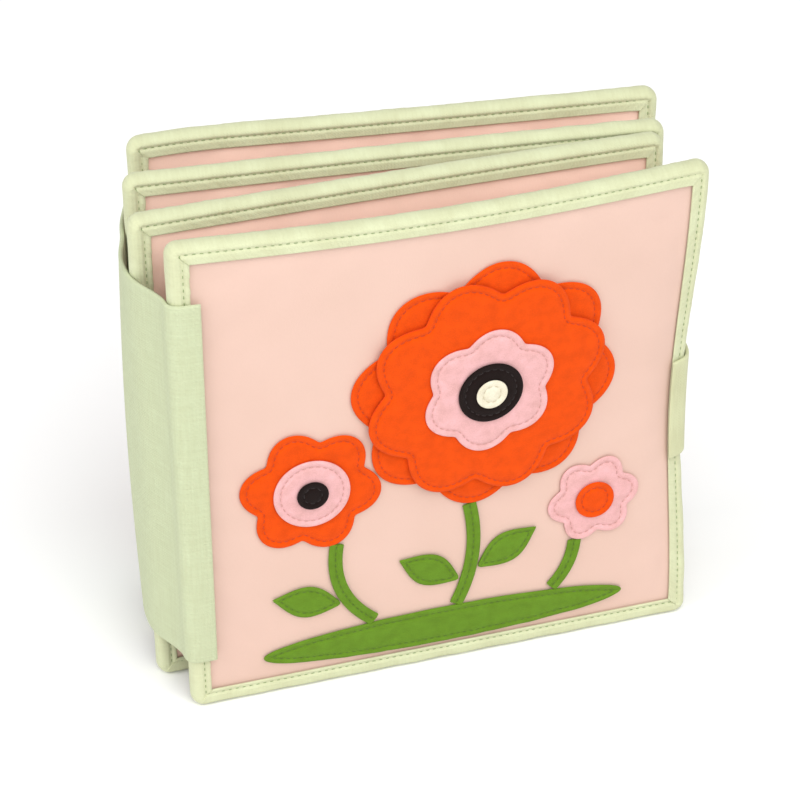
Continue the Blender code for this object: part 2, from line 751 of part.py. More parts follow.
def add_big_flower(felt):
    """Add the big flower: two orange layers, a pink rosette, a black ring and a centre."""
    flower = Flower(felt, BIG_FLOWER_CENTRE_SHARES, BIG_FLOWER_RADIUS, BIG_STEM_FOOT_SHARE)
    stem = flower.add_stem("big_stem", BIG_STEM_BOW)
    felt.add_leaflet("big_leaf_left", stem, BIG_LEAF_LEFT_STEM_SHARE, False,
                     BIG_LEAF_LEFT_TILT_DEG)
    felt.add_leaflet("big_leaf_right", stem, BIG_LEAF_RIGHT_STEM_SHARE, True,
                     BIG_LEAF_RIGHT_TILT_DEG)
    flower.add("big_flower_under", "orange", BIG_FLOWER_RADIUS, FELT_THICKNESS,
               BIG_PETAL_COUNT, BIG_PETAL_DEPTH_SHARE)
    flower.add("big_flower_upper", "orange", BIG_FLOWER_RADIUS - BIG_UPPER_MARGIN,
               PADDED_FELT_THICKNESS, BIG_PETAL_COUNT, BIG_PETAL_DEPTH_SHARE,
               math.pi / BIG_PETAL_COUNT)
    flower.add("big_flower_rosette", "pink", BIG_ROSETTE_RADIUS, FELT_THICKNESS,
               BIG_ROSETTE_PETAL_COUNT, BIG_PETAL_DEPTH_SHARE)
    flower.add("big_flower_ring", "black", BIG_RING_RADIUS, SMALL_FELT_THICKNESS)
    flower.add("big_flower_centre", "cream", BIG_CENTRE_RADIUS, SMALL_FELT_THICKNESS)


def add_side_flower(felt):
    """Add the orange flower near the spine, with a pink disc and a black centre."""
    flower = Flower(felt, SIDE_FLOWER_CENTRE_SHARES, SIDE_FLOWER_RADIUS, SIDE_STEM_FOOT_SHARE)
    stem = flower.add_stem("side_stem", SIDE_STEM_BOW)
    felt.add_leaflet("side_leaf", stem, SIDE_LEAF_STEM_SHARE, False, SIDE_LEAF_TILT_DEG)
    flower.add("side_flower_petals", "orange", SIDE_FLOWER_RADIUS, FELT_THICKNESS,
               SMALL_PETAL_COUNT, SMALL_PETAL_DEPTH_SHARE)
    flower.add("side_flower_rosette", "pink", SIDE_ROSETTE_RADIUS, FELT_THICKNESS)
    flower.add("side_flower_centre", "black", SIDE_CENTRE_RADIUS, SMALL_FELT_THICKNESS)


def add_low_flower(felt):
    """Add the small pink flower near the fore edge, with an orange centre."""
    flower = Flower(felt, LOW_FLOWER_CENTRE_SHARES, LOW_FLOWER_RADIUS, LOW_STEM_FOOT_SHARE)
    flower.add_stem("low_stem", LOW_STEM_BOW)
    flower.add("low_flower_petals", "pink", LOW_FLOWER_RADIUS, FELT_THICKNESS,
               SMALL_PETAL_COUNT, SMALL_PETAL_DEPTH_SHARE)
    flower.add("low_flower_centre", "orange", LOW_CENTRE_RADIUS, FELT_THICKNESS)


def add_pivots(book, strap, folds):
    """Put an empty on each hinge line, and carry each body on the one it turns on."""
    book.add_pivot("spine_pivot", Vector((0.0, 0.0, 0.0)))
    book.add_pivot("page_2_pivot", folds["page_2_rear"], "spine_pivot")
    book.add_pivot("front_gusset_pivot", folds["page_2_front"], "page_2_pivot")
    book.add_pivot("front_cover_pivot", folds["front_cover_rear"], "front_gusset_pivot")
    book.add_pivot("page_3_pivot", folds["page_3_front"], "spine_pivot")
    book.add_pivot("rear_gusset_pivot", folds["page_3_rear"], "page_3_pivot")
    book.add_pivot("rear_cover_pivot", folds["rear_cover_front"], "rear_gusset_pivot")
    book.add_pivot("strap_pivot", strap.swing_pivot, "front_cover_pivot")
    book.add_pivot("strap_tab_pivot", strap.tab_pivot, "strap_pivot")


def add_wrap(book, leaves, folds):
    """Add the linen wrap, a stretch for each body that it rides on."""
    corners = (folds["front_cover_rear"], folds["page_2_front"], folds["page_2_rear"],
               folds["page_3_front"], folds["page_3_rear"], folds["rear_cover_front"])
    bulges = (GUSSET_BULGE, 0.0, CENTRE_BULGE, 0.0, GUSSET_BULGE)
    spans = [WrapSpan(corners[i], corners[i + 1], bulges[i]) for i in range(len(bulges))]
    for span, following in zip(spans, spans[1:]):
        span.ease_fold(following)
    add_flap(book, "spine_front_flap", leaves[0], False, "front_cover_pivot")
    spans[0].add(book, "spine_front_gusset", "front_gusset_pivot", GUSSET_CELLS)
    spans[1].add(book, "spine_page_2_strip", "page_2_pivot", 1)
    spans[2].add(book, "spine_centre_panel", "spine_pivot", CENTRE_PANEL_CELLS)
    spans[3].add(book, "spine_page_3_strip", "page_3_pivot", 1)
    spans[4].add(book, "spine_rear_gusset", "rear_gusset_pivot", GUSSET_CELLS)
    add_flap(book, "spine_rear_flap", leaves[-1], True, "rear_cover_pivot")


def main():
    """Build the whole book."""
    for old in list(bpy.data.objects):
        bpy.data.objects.remove(old, do_unlink=True)
    leaves = make_leaves()
    book = Book()
    folds = {}
    for leaf in leaves:
        folds[f"{leaf.name}_front"] = hinge_point(leaf, False)
        folds[f"{leaf.name}_rear"] = hinge_point(leaf, True)
    strap = Strap(leaves)
    add_pivots(book, strap, folds)
    for leaf in leaves:
        add_leaf(book, leaf)
    add_wrap(book, leaves, folds)
    strap.add(book)
    add_patches(book, leaves[-1])
    felt = Felt(book, leaves[0])
    add_mound(felt)
    add_big_flower(felt)
    add_side_flower(felt)
    add_low_flower(felt)
    book.centre()


main()
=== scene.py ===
"""Looks of the padded cloth book: bound, padded leaves in a linen wrap, with felt flowers.

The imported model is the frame. Every surface here is worked out from the same sizes as the
frame's pieces, in metres: X from the spine to the fore edge, Y from the front cover to the
rear cover, Z up.
"""

import functools
import json
import math

import bpy
import numpy as np
from mathutils import Matrix


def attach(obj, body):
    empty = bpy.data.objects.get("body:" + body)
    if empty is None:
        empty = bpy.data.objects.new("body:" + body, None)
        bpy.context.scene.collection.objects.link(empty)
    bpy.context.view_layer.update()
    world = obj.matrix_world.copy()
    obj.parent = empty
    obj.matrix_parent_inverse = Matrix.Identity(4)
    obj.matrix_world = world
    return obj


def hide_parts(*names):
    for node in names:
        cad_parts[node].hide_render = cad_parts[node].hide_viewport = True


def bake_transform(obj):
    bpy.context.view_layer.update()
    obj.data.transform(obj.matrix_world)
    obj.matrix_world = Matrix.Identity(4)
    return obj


bl_info = {
    "name": "Cloth book",
    "version": (1, 0, 0),
    "blender": (4, 5, 0),
    "location": "View3D > Sidebar > Cloth book",
    "description": "Adds the sewn pieces of a padded cloth book, and the stage it stands on",
    "category": "Add Mesh",
}

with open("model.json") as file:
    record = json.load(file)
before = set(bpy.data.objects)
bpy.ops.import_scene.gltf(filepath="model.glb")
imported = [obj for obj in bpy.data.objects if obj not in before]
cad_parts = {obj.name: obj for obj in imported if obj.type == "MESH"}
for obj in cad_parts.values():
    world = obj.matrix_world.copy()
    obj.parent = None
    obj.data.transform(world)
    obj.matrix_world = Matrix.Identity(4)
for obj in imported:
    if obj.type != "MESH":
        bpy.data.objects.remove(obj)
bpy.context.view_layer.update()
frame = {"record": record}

# Leaves, front to back, and how they stand and hang.
LEAF_NAMES = ("front_cover", "page_2", "page_3", "rear_cover")
LEAF_WIDTH = 0.200
LEAF_HEIGHT = 0.200
LEAF_CORNER_RADIUS = 0.005
SPINE_GAPS = (0.0142, 0.0211, 0.0232)
FORE_GAPS = (0.0158, 0.0010, 0.0174)
SPINE_SHIFTS = (0.0, -0.0079, -0.0034, 0.0046)
FORE_PULL = 0.002
FORE_DRAW = 0.0018
FORE_PULL_START_SHARE = 0.55
FORE_ROLL = 0.0055
FORE_ROLL_REACH = 0.020
TOP_BOW = 0.0068
PAGE_BOWS = (0.0, 0.0008, 0.0008, -0.0010)
SPINE_CURL = 0.0045
SPINE_CURL_REACH = 0.040

# Layers of a leaf.
CLOTH_GAP = 0.0003
FACE_THICKNESS = 0.0008
FILM_THICKNESS = 0.00025
WADDING_THICKNESS = 0.0030
CROWN_HEIGHT = 0.00175
BINDING_THICKNESS = 0.0010
BINDING_WIDTH = 0.0075
BINDING_FOLD_RADIUS = 0.0028
MITRE_RADIUS = 0.0003
LAYER_INSET = 0.0038
LEAF_THICKNESS = (2.0 * (BINDING_THICKNESS + FACE_THICKNESS) + FILM_THICKNESS
                  + WADDING_THICKNESS + 5.0 * CLOTH_GAP)
FACE_FRONT = BINDING_THICKNESS + CLOTH_GAP

# Linen wrap.
WRAP_HEIGHT = 0.155
WRAP_THICKNESS = 0.0016
FLAP_WIDTH_TOP = 0.0105
FLAP_WIDTH_BOTTOM = 0.0100
CENTRE_BULGE = 0.0034
GUSSET_BULGE = 0.0008
HINGE_MARGIN = 0.00025
WRAP_BOTTOM = 0.5 * (LEAF_HEIGHT - WRAP_HEIGHT)

# Closure strap and its patches.
STRAP_HEIGHT = 0.043
STRAP_THICKNESS = 0.0015
STRAP_STANDOFF = 0.0020
STRAP_EASE = 0.0010
STRAP_TAB_LENGTH = 0.040
STRAP_MIDDLE = 0.475 * LEAF_HEIGHT
STRAP_DRAW = 0.0012
STRAP_DRAW_REACH = 0.045
PATCH_THICKNESS = 0.0008
PATCH_LENGTH = 0.022
PATCH_HEIGHT = 0.033
PATCH_INSET = 0.012

# Felt pieces. Centres are shares of the cover's width and height.
FELT_THICKNESS = 0.0010
PADDED_FELT_THICKNESS = 0.0022
SMALL_FELT_THICKNESS = 0.0009
BIG_FLOWER_CENTRE_SHARES = (0.575, 0.625)
BIG_FLOWER_RADIUS = 0.052
BIG_UPPER_MARGIN = 0.0050
BIG_PUFF = 0.0002
BIG_PETAL_COUNT = 8
BIG_PETAL_DEPTH_SHARE = 0.17
BIG_ROSETTE_RADIUS = 0.0260
BIG_ROSETTE_PETAL_COUNT = 6
BIG_RING_RADIUS = 0.0125
BIG_CENTRE_RADIUS = 0.0060
SIDE_FLOWER_CENTRE_SHARES = (0.240, 0.455)
SIDE_FLOWER_RADIUS = 0.0270
SIDE_ROSETTE_RADIUS = 0.0145
SIDE_CENTRE_RADIUS = 0.0060
LOW_FLOWER_CENTRE_SHARES = (0.800, 0.320)
LOW_FLOWER_RADIUS = 0.0190
LOW_CENTRE_RADIUS = 0.0080
SMALL_PETAL_COUNT = 6
SMALL_PETAL_DEPTH_SHARE = 0.22
MOUND_CENTRE_SHARES = (0.50, 0.088)
MOUND_HALF_LENGTH = 0.072
MOUND_HALF_HEIGHT = 0.0085
STEM_WIDTH = 0.0055
BIG_STEM_FOOT_SHARE = 0.52
BIG_STEM_BOW = -0.004
SIDE_STEM_FOOT_SHARE = 0.36
SIDE_STEM_BOW = 0.006
LOW_STEM_FOOT_SHARE = 0.71
LOW_STEM_BOW = -0.002
LEAFLET_LENGTH = 0.027
LEAFLET_HALF_WIDTH = 0.0070
LEAFLET_EASE = 0.0008
LEAFLET_TAPER_POWER = 1.2
LEAFLET_END_SHARES = (0.05, 0.98)

# Camera, from the photograph's leaf corners, and the point of the book that it faces.
CAMERA_AZIMUTH_DEG = -17.08
CAMERA_ELEVATION_DEG = 32.85
CAMERA_ROLL_DEG = -0.467
CAMERA_DISTANCE = 1.0501
CAMERA_TARGET = (0.09479, 0.0400, 0.09576)
CAMERA_LENS_PIXELS = 2770.5
PICTURE_PIXELS = 800.0
SENSOR_MM = 36.0


def frame_origin():
    """Foot of the front cover's spine edge in the frame, worked back from its hinge."""
    joints = frame["record"]["behaviour"]["joints"]
    hinge = next(joint["pos_m"] for joint in joints if joint["name"] == "front_cover_turn")
    return np.array((hinge[0] + CLOTH_GAP + WRAP_THICKNESS + HINGE_MARGIN,
                     hinge[1] - LEAF_THICKNESS, 0.0))


ORIGIN = frame_origin()


# Plain sums

def smooth(share):
    """Rise from 0 to 1 with no slope at either end."""
    share = np.clip(share, 0.0, 1.0)
    return share * share * (3.0 - 2.0 * share)


def mix(start, end, share):
    """Go straight from start to end."""
    return start + (end - start) * share


def hump(value, middle, width):
    """Bell of height 1 round a middle value."""
    return np.exp(-((value - middle) / width) ** 2)


def ripples(turns, cycles, seed):
    """Sum of sine waves of unlike counts round a closed path, from -1 to 1."""
    draw = np.random.default_rng(seed)
    phases = draw.uniform(0.0, 2.0 * math.pi, len(cycles))
    weights = draw.uniform(0.5, 1.0, len(cycles))
    waves = np.sin(2.0 * math.pi * turns[..., None] * np.array(cycles) + phases) * weights
    return waves.sum(-1) / weights.sum()


def linear(hex_color):
    """Turn an sRGB hex colour into the linear red, green and blue of the shaders."""
    levels = [int(hex_color[at:at + 2], 16) / 255.0 for at in (1, 3, 5)]
    return tuple(v / 12.92 if v <= 0.04045 else ((v + 0.055) / 1.055) ** 2.4 for v in levels)


# Meshes from arrays

# Two faces that meet at more than this angle keep a sharp edge.
SHARP_ANGLE_DEG = 50.0


def grid_quads(rows, columns, ring_rows=False, ring_columns=False):
    """Quads of a grid of points, and of a grid that repeats its first line where it closes."""
    row_cells = rows if ring_rows else rows - 1
    column_cells = columns if ring_columns else columns - 1
    i, j = np.meshgrid(np.arange(row_cells), np.arange(column_cells), indexing="ij")
    corners = ((i, j), (i + 1, j), (i + 1, j + 1), (i, j + 1))
    points = [(a % rows) * columns + b % columns for a, b in corners]
    places = [a * (column_cells + 1) + b for a, b in corners]
    return np.stack(points, -1).reshape(-1, 4), np.stack(places, -1).reshape(-1, 4)


def enclosed_volume(points, groups):
    """Volume inside closed faces, from the signed tetrahedra that they span."""
    total = 0.0
    for faces in groups:
        for at in range(1, faces.shape[1] - 1):
            a, b, c = (points[faces[:, k]] for k in (0, at, at + 1))
            total += np.einsum("ij,ij->", a, np.cross(b, c)) / 6.0
    return total


def make_piece(name, points, groups, places=None):
    """Make a closed piece from points, groups of faces and each corner's place on the cloth."""
    points = np.asarray(points, float).reshape(-1, 3)
    centred = points - points.mean(0)
    if enclosed_volume(centred, groups) < 0.0:
        groups = [faces[:, ::-1] for faces in groups]
        places = places and [corners[:, ::-1] for corners in places]
    data = bpy.data.meshes.new(name)
    loops = np.concatenate([faces.ravel() for faces in groups])
    sides = np.concatenate([np.full(len(faces), faces.shape[1]) for faces in groups])
    data.vertices.add(len(points))
    data.vertices.foreach_set("co", points.astype(np.float32).ravel())
    data.loops.add(len(loops))
    data.loops.foreach_set("vertex_index", loops.astype(np.int32))
    data.polygons.add(len(sides))
    data.polygons.foreach_set("loop_start", (np.cumsum(sides) - sides).astype(np.int32))
    data.update(calc_edges=True)
    if places is not None:
        layer = data.uv_layers.new(name="cloth")
        spread = np.concatenate([corners.reshape(-1, 2) for corners in places])
        layer.uv.foreach_set("vector", spread.astype(np.float32).ravel())
    data.shade_smooth()
    data.set_sharp_from_angle(angle=math.radians(SHARP_ANGLE_DEG))
    if data.validate():
        raise RuntimeError(f"{name}: the mesh had faults")
    piece = bpy.data.objects.new(name, data)
    bpy.context.scene.collection.objects.link(piece)
    return piece


def sheet_piece(name, outer, inner, place):
    """Close two grids of points, one each side of a cloth, with a strip round their rim."""
    rows, columns = outer.shape[:2]
    quads, _ = grid_quads(rows, columns)
    index = np.arange(rows * columns).reshape(rows, columns)
    rim = np.concatenate([index[0, :-1], index[:-1, -1], index[-1, :0:-1], index[:0:-1, 0]])
    after = np.roll(rim, -1)
    count = rows * columns
    strip = np.stack([after, rim, rim + count, after + count], -1)
    spread = np.concatenate([place.reshape(-1, 2)] * 2)
    groups = [quads, quads[:, ::-1] + count, strip]
    points = np.concatenate([outer.reshape(-1, 3), inner.reshape(-1, 3)])
    return make_piece(name, points, groups, [spread[faces] for faces in groups])


def ring_piece(name, rings, place, closed):
    """Join sections of one tape, one row a section, closed in a ring or capped at the ends.

    A section's points go up one side, round an end, down the other side and round again.
    """
    rows, columns = rings.shape[:2]
    quads, corners = grid_quads(rows, columns, closed, True)
    groups = [quads]
    places = [place.reshape(-1, 2)[corners]]
    if not closed:
        cap = cap_faces(columns)
        for end, faces in ((0, cap[:, ::-1]), (rows - 1, cap)):
            groups.append(faces + end * columns)
            places.append(place[end, faces])
    return make_piece(name, rings, groups, places)


def cap_faces(columns):
    """Quads across a tape's section, between each point of one side and its opposite."""
    half = columns // 2
    i = np.arange(half - 1)
    return np.stack([i, i + 1, columns - 2 - i, columns - 1 - i], -1)


# Points on each quarter circle of a tape's rounded edge.
EDGE_POINTS = 3


def tape_section(centre, half):
    """Closed section of a tape with rounded edges, from the line through its middle.

    Both sides lie half a thickness from the line, and a half circle joins them at each end.
    Half of each round end goes with each side, so opposite points share a place on the line.
    """
    run = np.gradient(centre, axis=0)
    run /= np.linalg.norm(run, axis=1, keepdims=True)
    out = np.stack([run[:, 1], -run[:, 0]], -1)
    turns = ((np.arange(EDGE_POINTS) + 0.5) / EDGE_POINTS * 0.5 * math.pi)[:, None]

    def quarter(end, side, way):
        return centre[end] + half * (side * np.cos(turns) * out[end]
                                     + way * np.sin(turns) * run[end])

    near = [quarter(0, 1, -1)[::-1], centre + half * out, quarter(-1, 1, 1)]
    far = [quarter(-1, -1, 1)[::-1], (centre - half * out)[::-1], quarter(0, -1, -1)]
    return np.concatenate(near + far)


def path_lengths(points, closed=False):
    """Distance along a line of points, from 0, and to the first point again if it closes."""
    if closed:
        points = np.concatenate([points, points[:1]])
    steps = np.linalg.norm(np.diff(points, axis=0), axis=1)
    return np.concatenate([[0.0], np.cumsum(steps)])


def place_ring(along, around):
    """Place on the cloth of each corner of a ring grid, from its lengths along and around."""
    return np.stack(np.meshgrid(along, around, indexing="ij"), -1)


def poled_piece(name, points, place, poles, pole_places):
    """Close a grid whose columns go round: quads, and a fan at each end to its pole."""
    rows, columns = points.shape[:2]
    count = rows * columns
    ring = np.arange(columns)
    after = np.roll(ring, -1)
    head = np.stack([after, ring, np.full(columns, count)], -1)
    foot = np.stack([ring + count - columns, after + count - columns,
                     np.full(columns, count + 1)], -1)
    groups = [grid_quads(rows, columns, False, True)[0], np.concatenate([head, foot])]
    spread = np.concatenate([place.reshape(-1, 2), pole_places])
    points = np.concatenate([points.reshape(-1, 3), poles])
    return make_piece(name, points, groups, [spread[faces] for faces in groups])


# Leaves

def read_field(field, along, height):
    """Read a leaf's padding between its grid points, with a cubic curve each way."""
    last = field.shape[0] - 1
    u = np.clip(np.asarray(along) / LEAF_WIDTH, 0.0, 1.0) * last
    v = np.clip(np.asarray(height) / LEAF_HEIGHT, 0.0, 1.0) * last
    i, j = np.floor(u).astype(int), np.floor(v).astype(int)
    a, b = u - i, v - j

    def weights(t):
        return (0.5 * (-t + 2 * t**2 - t**3), 0.5 * (2 - 5 * t**2 + 3 * t**3),
                0.5 * (t + 4 * t**2 - 3 * t**3), 0.5 * (-t**2 + t**3))

    total = 0.0
    for m, across in enumerate(weights(a)):
        for n, up in enumerate(weights(b)):
            rows = np.clip(i + m - 1, 0, last)
            columns = np.clip(j + n - 1, 0, last)
            total = total + across * up * field[rows, columns]
    return total


class Leaf:
    """One leaf's place in plan, its bend, and the padding on its two faces."""

    def __init__(self, index, spine_depth, fore_depth):
        self.name = LEAF_NAMES[index]
        self.index = index
        self.start = np.array((SPINE_SHIFTS[index], spine_depth))
        turn = math.asin((fore_depth - spine_depth) / LEAF_WIDTH)
        self.run = np.array((math.cos(turn), math.sin(turn)))
        self.back = np.array((-math.sin(turn), math.cos(turn)))
        self.front_field = None
        self.rear_field = None

    def place(self, along, depth, height):
        """Points of the leaf: along it, behind its front, up.

        Half a sine bows each leaf. Squares of the way to the fore edge pull and roll the
        front cover back by a squared sine of its height, and its top bows forward. A bell
        round the strap draws its fore edge in.
        """
        along, depth, height = np.broadcast_arrays(along, depth, height)
        share = np.clip(along / LEAF_WIDTH, 0.0, 1.0)
        behind = depth + PAGE_BOWS[self.index] * np.sin(math.pi * share)
        drawn = along
        if self.index == 0:
            waist = np.maximum(np.sin(math.pi * height / LEAF_HEIGHT), 0.0) ** 2
            reach = (share - FORE_PULL_START_SHARE) / (1.0 - FORE_PULL_START_SHARE)
            edge = 1.0 - (1.0 - share) * LEAF_WIDTH / FORE_ROLL_REACH
            held = (FORE_PULL * np.maximum(reach, 0.0) ** 2
                    + FORE_ROLL * np.maximum(edge, 0.0) ** 2)
            bowed = TOP_BOW * np.maximum(height / LEAF_HEIGHT, 0.0) ** 2
            behind = behind + held * waist - bowed * np.sin(math.pi * share)
            nipped = STRAP_DRAW * hump(height, STRAP_MIDDLE, STRAP_DRAW_REACH)
            drawn = along - (FORE_DRAW * waist + nipped) * (along / LEAF_WIDTH) ** 2
        if self.index == len(LEAF_NAMES) - 1:
            curl = np.maximum(1.0 - share * LEAF_WIDTH / SPINE_CURL_REACH, 0.0) ** 2
            behind = behind - SPINE_CURL * curl
        plan = self.start + drawn[..., None] * self.run + behind[..., None] * self.back
        return np.concatenate([plan, height[..., None]], -1) + ORIGIN

    def front(self, along, height):
        """Depth of the front face's outer side."""
        return FACE_FRONT - read_field(self.front_field, along, height)

    def rear(self, along, height):
        """Depth of the rear face's outer side."""
        return LEAF_THICKNESS - FACE_FRONT + read_field(self.rear_field, along, height)


# Padding

# Points each way in which a face's padding is kept.
FIELD_POINTS = 97

# The pads that are blown up: cells each way, and their first swelling and unevenness, with
# how far from the rim each is full.
PAD_SEEDS = (7, 19)
PAD_CELLS = 56
PAD_START_SWELL = 0.0006
PAD_START_REACH = 0.01
PAD_UNEVENNESS = 0.0002
PAD_UNEVEN_REACH = 0.004

# The simulation's steps in a picture, cloth, pressure and length, and the most a point moves.
PAD_STEPS = 5
PAD_MASS = 0.3
PAD_PRESSURE = 4.0
PAD_GROWTH = 0.012
PAD_FRAMES = 20
PAD_MOST = 0.012

# How strongly the blown shape is levelled out where it lies on the filling.
PAD_PRESSING = 3.0


def blown_pad(seed):
    """Heights that two cloths sewn together round their rim blow up to, one grid a cloth.

    Cloth simulation with pressure and no gravity, on a square of cells that is pinned
    along the binding. The cloth is cut a little larger than its frame, so it puckers at
    the seams. Nothing moves further than the most that is allowed.
    """
    count = PAD_CELLS + 1
    width = LEAF_WIDTH - 2.0 * BINDING_WIDTH
    line = np.linspace(0.0, width, count)
    x, y = np.meshgrid(line, line, indexing="ij")
    draw = np.random.default_rng(seed)
    uneven = draw.uniform(-PAD_UNEVENNESS, PAD_UNEVENNESS, x.shape)
    edge = np.minimum(np.minimum(x, width - x), np.minimum(y, width - y))
    swell = (PAD_START_SWELL * smooth(edge / PAD_START_REACH)
             + uneven * smooth(edge / PAD_UNEVEN_REACH))
    quads, _ = grid_quads(count, count)
    index = np.arange(count * count).reshape(count, count)
    inner = index[1:-1, 1:-1].ravel()
    twin = np.arange(count * count)
    twin[inner] = count * count + np.arange(len(inner))
    front = np.stack([x, y, swell], -1).reshape(-1, 3)
    back = np.stack([x, y, -swell], -1).reshape(-1, 3)[inner]
    data = bpy.data.meshes.new("pad")
    data.from_pydata(np.concatenate([front, back]).tolist(), [],
                     quads.tolist() + twin[quads[:, ::-1]].tolist())
    pad = bpy.data.objects.new("pad", data)
    bpy.context.scene.collection.objects.link(pad)
    rim = pad.vertex_groups.new(name="rim")
    held = np.setdiff1d(index.ravel(), inner)
    rim.add(held.tolist(), 1.0, "REPLACE")
    cloth = pad.modifiers.new("Cloth", "CLOTH")
    cloth.settings.quality = PAD_STEPS
    cloth.settings.mass = PAD_MASS
    cloth.settings.use_pressure = True
    cloth.settings.uniform_pressure_force = PAD_PRESSURE
    cloth.settings.shrink_min = -PAD_GROWTH
    cloth.settings.vertex_group_mass = "rim"
    cloth.settings.effector_weights.gravity = 0.0
    cloth.collision_settings.use_collision = False
    cloth.point_cache.frame_start = 1
    cloth.point_cache.frame_end = PAD_FRAMES
    scene = bpy.context.scene
    for frame_at in range(1, PAD_FRAMES + 1):
        scene.frame_set(frame_at)
    shape = pad.evaluated_get(bpy.context.evaluated_depsgraph_get()).to_mesh()
    moved = np.empty(len(shape.vertices) * 3, np.float32)
    shape.vertices.foreach_get("co", moved)
    moved = moved.reshape(-1, 3)
    scene.frame_set(1)
    bpy.data.objects.remove(pad, do_unlink=True)
    bpy.data.meshes.remove(data)
    upper = np.clip(moved[:count * count, 2].reshape(count, count), 0.0, PAD_MOST)
    lower = upper.copy()
    lower[1:-1, 1:-1] = np.clip(-moved[count * count:, 2].reshape(count - 2, count - 2),
                                0.0, PAD_MOST)
    return upper, lower


def pressed_field(blown):
    """Padding from a blown pad: its swelling, pressed flat against the filling.

    The height follows one minus a falling exponential of the blown height, so it rises
    steeply beside the binding and levels out inside.
    """
    pressed = CROWN_HEIGHT * (1.0 - np.exp(-PAD_PRESSING * blown / blown.max()))
    line = np.linspace(0.0, LEAF_WIDTH, FIELD_POINTS)
    at = np.clip((line - BINDING_WIDTH) / (LEAF_WIDTH - 2.0 * BINDING_WIDTH), 0.0, 1.0)
    at = at * (blown.shape[0] - 1)
    low = np.minimum(np.floor(at).astype(int), blown.shape[0] - 2)
    share = at - low
    rows = mix(pressed[low], pressed[low + 1], share[:, None])
    return mix(rows[:, low], rows[:, low + 1], share[None, :])


def pad_leaves():
    """Give each face its padding: two simulated pads, turned and mirrored from face to face."""
    fields = [pressed_field(blown) for seed in PAD_SEEDS for blown in blown_pad(seed)]
    for leaf in LEAVES:
        leaf.front_field = fields[leaf.index]
        leaf.rear_field = np.rot90(fields[(leaf.index + 1) % len(fields)], leaf.index + 1)


def make_leaves():
    """Lay the four leaves out one behind another."""
    leaves = []
    spine_depth = 0.0
    fore_depth = 0.0
    for index in range(len(LEAF_NAMES)):
        leaves.append(Leaf(index, spine_depth, fore_depth))
        if index < len(SPINE_GAPS):
            spine_depth += LEAF_THICKNESS + SPINE_GAPS[index]
            fore_depth += LEAF_THICKNESS + FORE_GAPS[index]
    return leaves


LEAVES = make_leaves()


# Bindings

# Stations along each side and round each corner of the rim, and points across the strip.
SIDE_STATIONS = 175
CORNER_STATIONS = 14
SECTION_POINTS = 22

# Stitch line's distance from the rim: bottom, fore edge, top, spine. Its groove's width.
SIDE_GROOVES = (0.0058, 0.0040, 0.0034, 0.0052)
GROOVE_WIDTH = 0.0007

# Step of a mitre, how far it fades along the side, and how far apart the stations are there.
MITRE_STEP = 0.00035
MITRE_REACH = 0.004
CORNER_SPACING = 0.00025
SIDE_SPACINGS = 4.0

# Ripples: least and most waves round the rim and how many are summed, and their slant.
FINE_WAVES = (90, 250, 12)
BROAD_WAVES = (16, 52, 7)
RIPPLE_SLANT = 0.35

# Distance inward of the stitch line, and width, of the puckers and of the puff beside it.
INNER_PUCKERS = (0.0020, 0.0012)
OUTER_PUCKERS = (-0.0018, 0.0014)
SEAM_PUFF = (-0.0014, 0.0009)
SEAM_PUFF_SHARE = 0.25

# Distance inward of the rim, and width, of the rim's own swelling.
RIM_SWELL = (0.0008, 0.0022)
RIM_SWELL_SHARE = 0.8


def rim_places(inward):
    """Along and height of points at inward distances from the rim, one row a station.

    Each quarter is a corner arc and then a straight side. Inside the arc's centre the
    corner stays sharp, so the two sides meet on the corner's diagonal.
    """
    angles = np.concatenate([np.linspace(0.0, 0.5 * math.pi, CORNER_STATIONS),
                             np.full(SIDE_STATIONS, 0.5 * math.pi)])[:, None]
    shares = np.concatenate([np.zeros(CORNER_STATIONS),
                             (np.arange(SIDE_STATIONS) + 1.0) / (SIDE_STATIONS + 1.0)])[:, None]
    radius = np.maximum(LEAF_CORNER_RADIUS - inward, MITRE_RADIUS)
    reach = inward + radius
    quarters = np.split(np.arange(inward.shape[0]), 4)
    along = np.empty_like(inward)
    height = np.empty_like(inward)
    for quarter, rows in enumerate(quarters):
        length = LEAF_HEIGHT if quarter % 2 else LEAF_WIDTH
        r, g = radius[rows], reach[rows]
        a = g - r * np.cos(angles) + (length - 2.0 * g) * shares
        b = g - r * np.sin(angles)
        along[rows] = (a, LEAF_WIDTH - b, LEAF_WIDTH - a, b)[quarter]
        height[rows] = (b, a, LEAF_HEIGHT - b, LEAF_HEIGHT - a)[quarter]
    return along, height


def groove_places():
    """Inward distance of the stitch line at each station: its own on each side.

    It goes from one side's to the next along the corner with a smooth step.
    """
    turn = smooth(np.linspace(0.0, 1.0, CORNER_STATIONS))
    parts = []
    for side in range(4):
        before, after = SIDE_GROOVES[side - 1], SIDE_GROOVES[side]
        parts.append(mix(before, after, turn))
        parts.append(np.full(SIDE_STATIONS, after))
    return np.concatenate(parts)


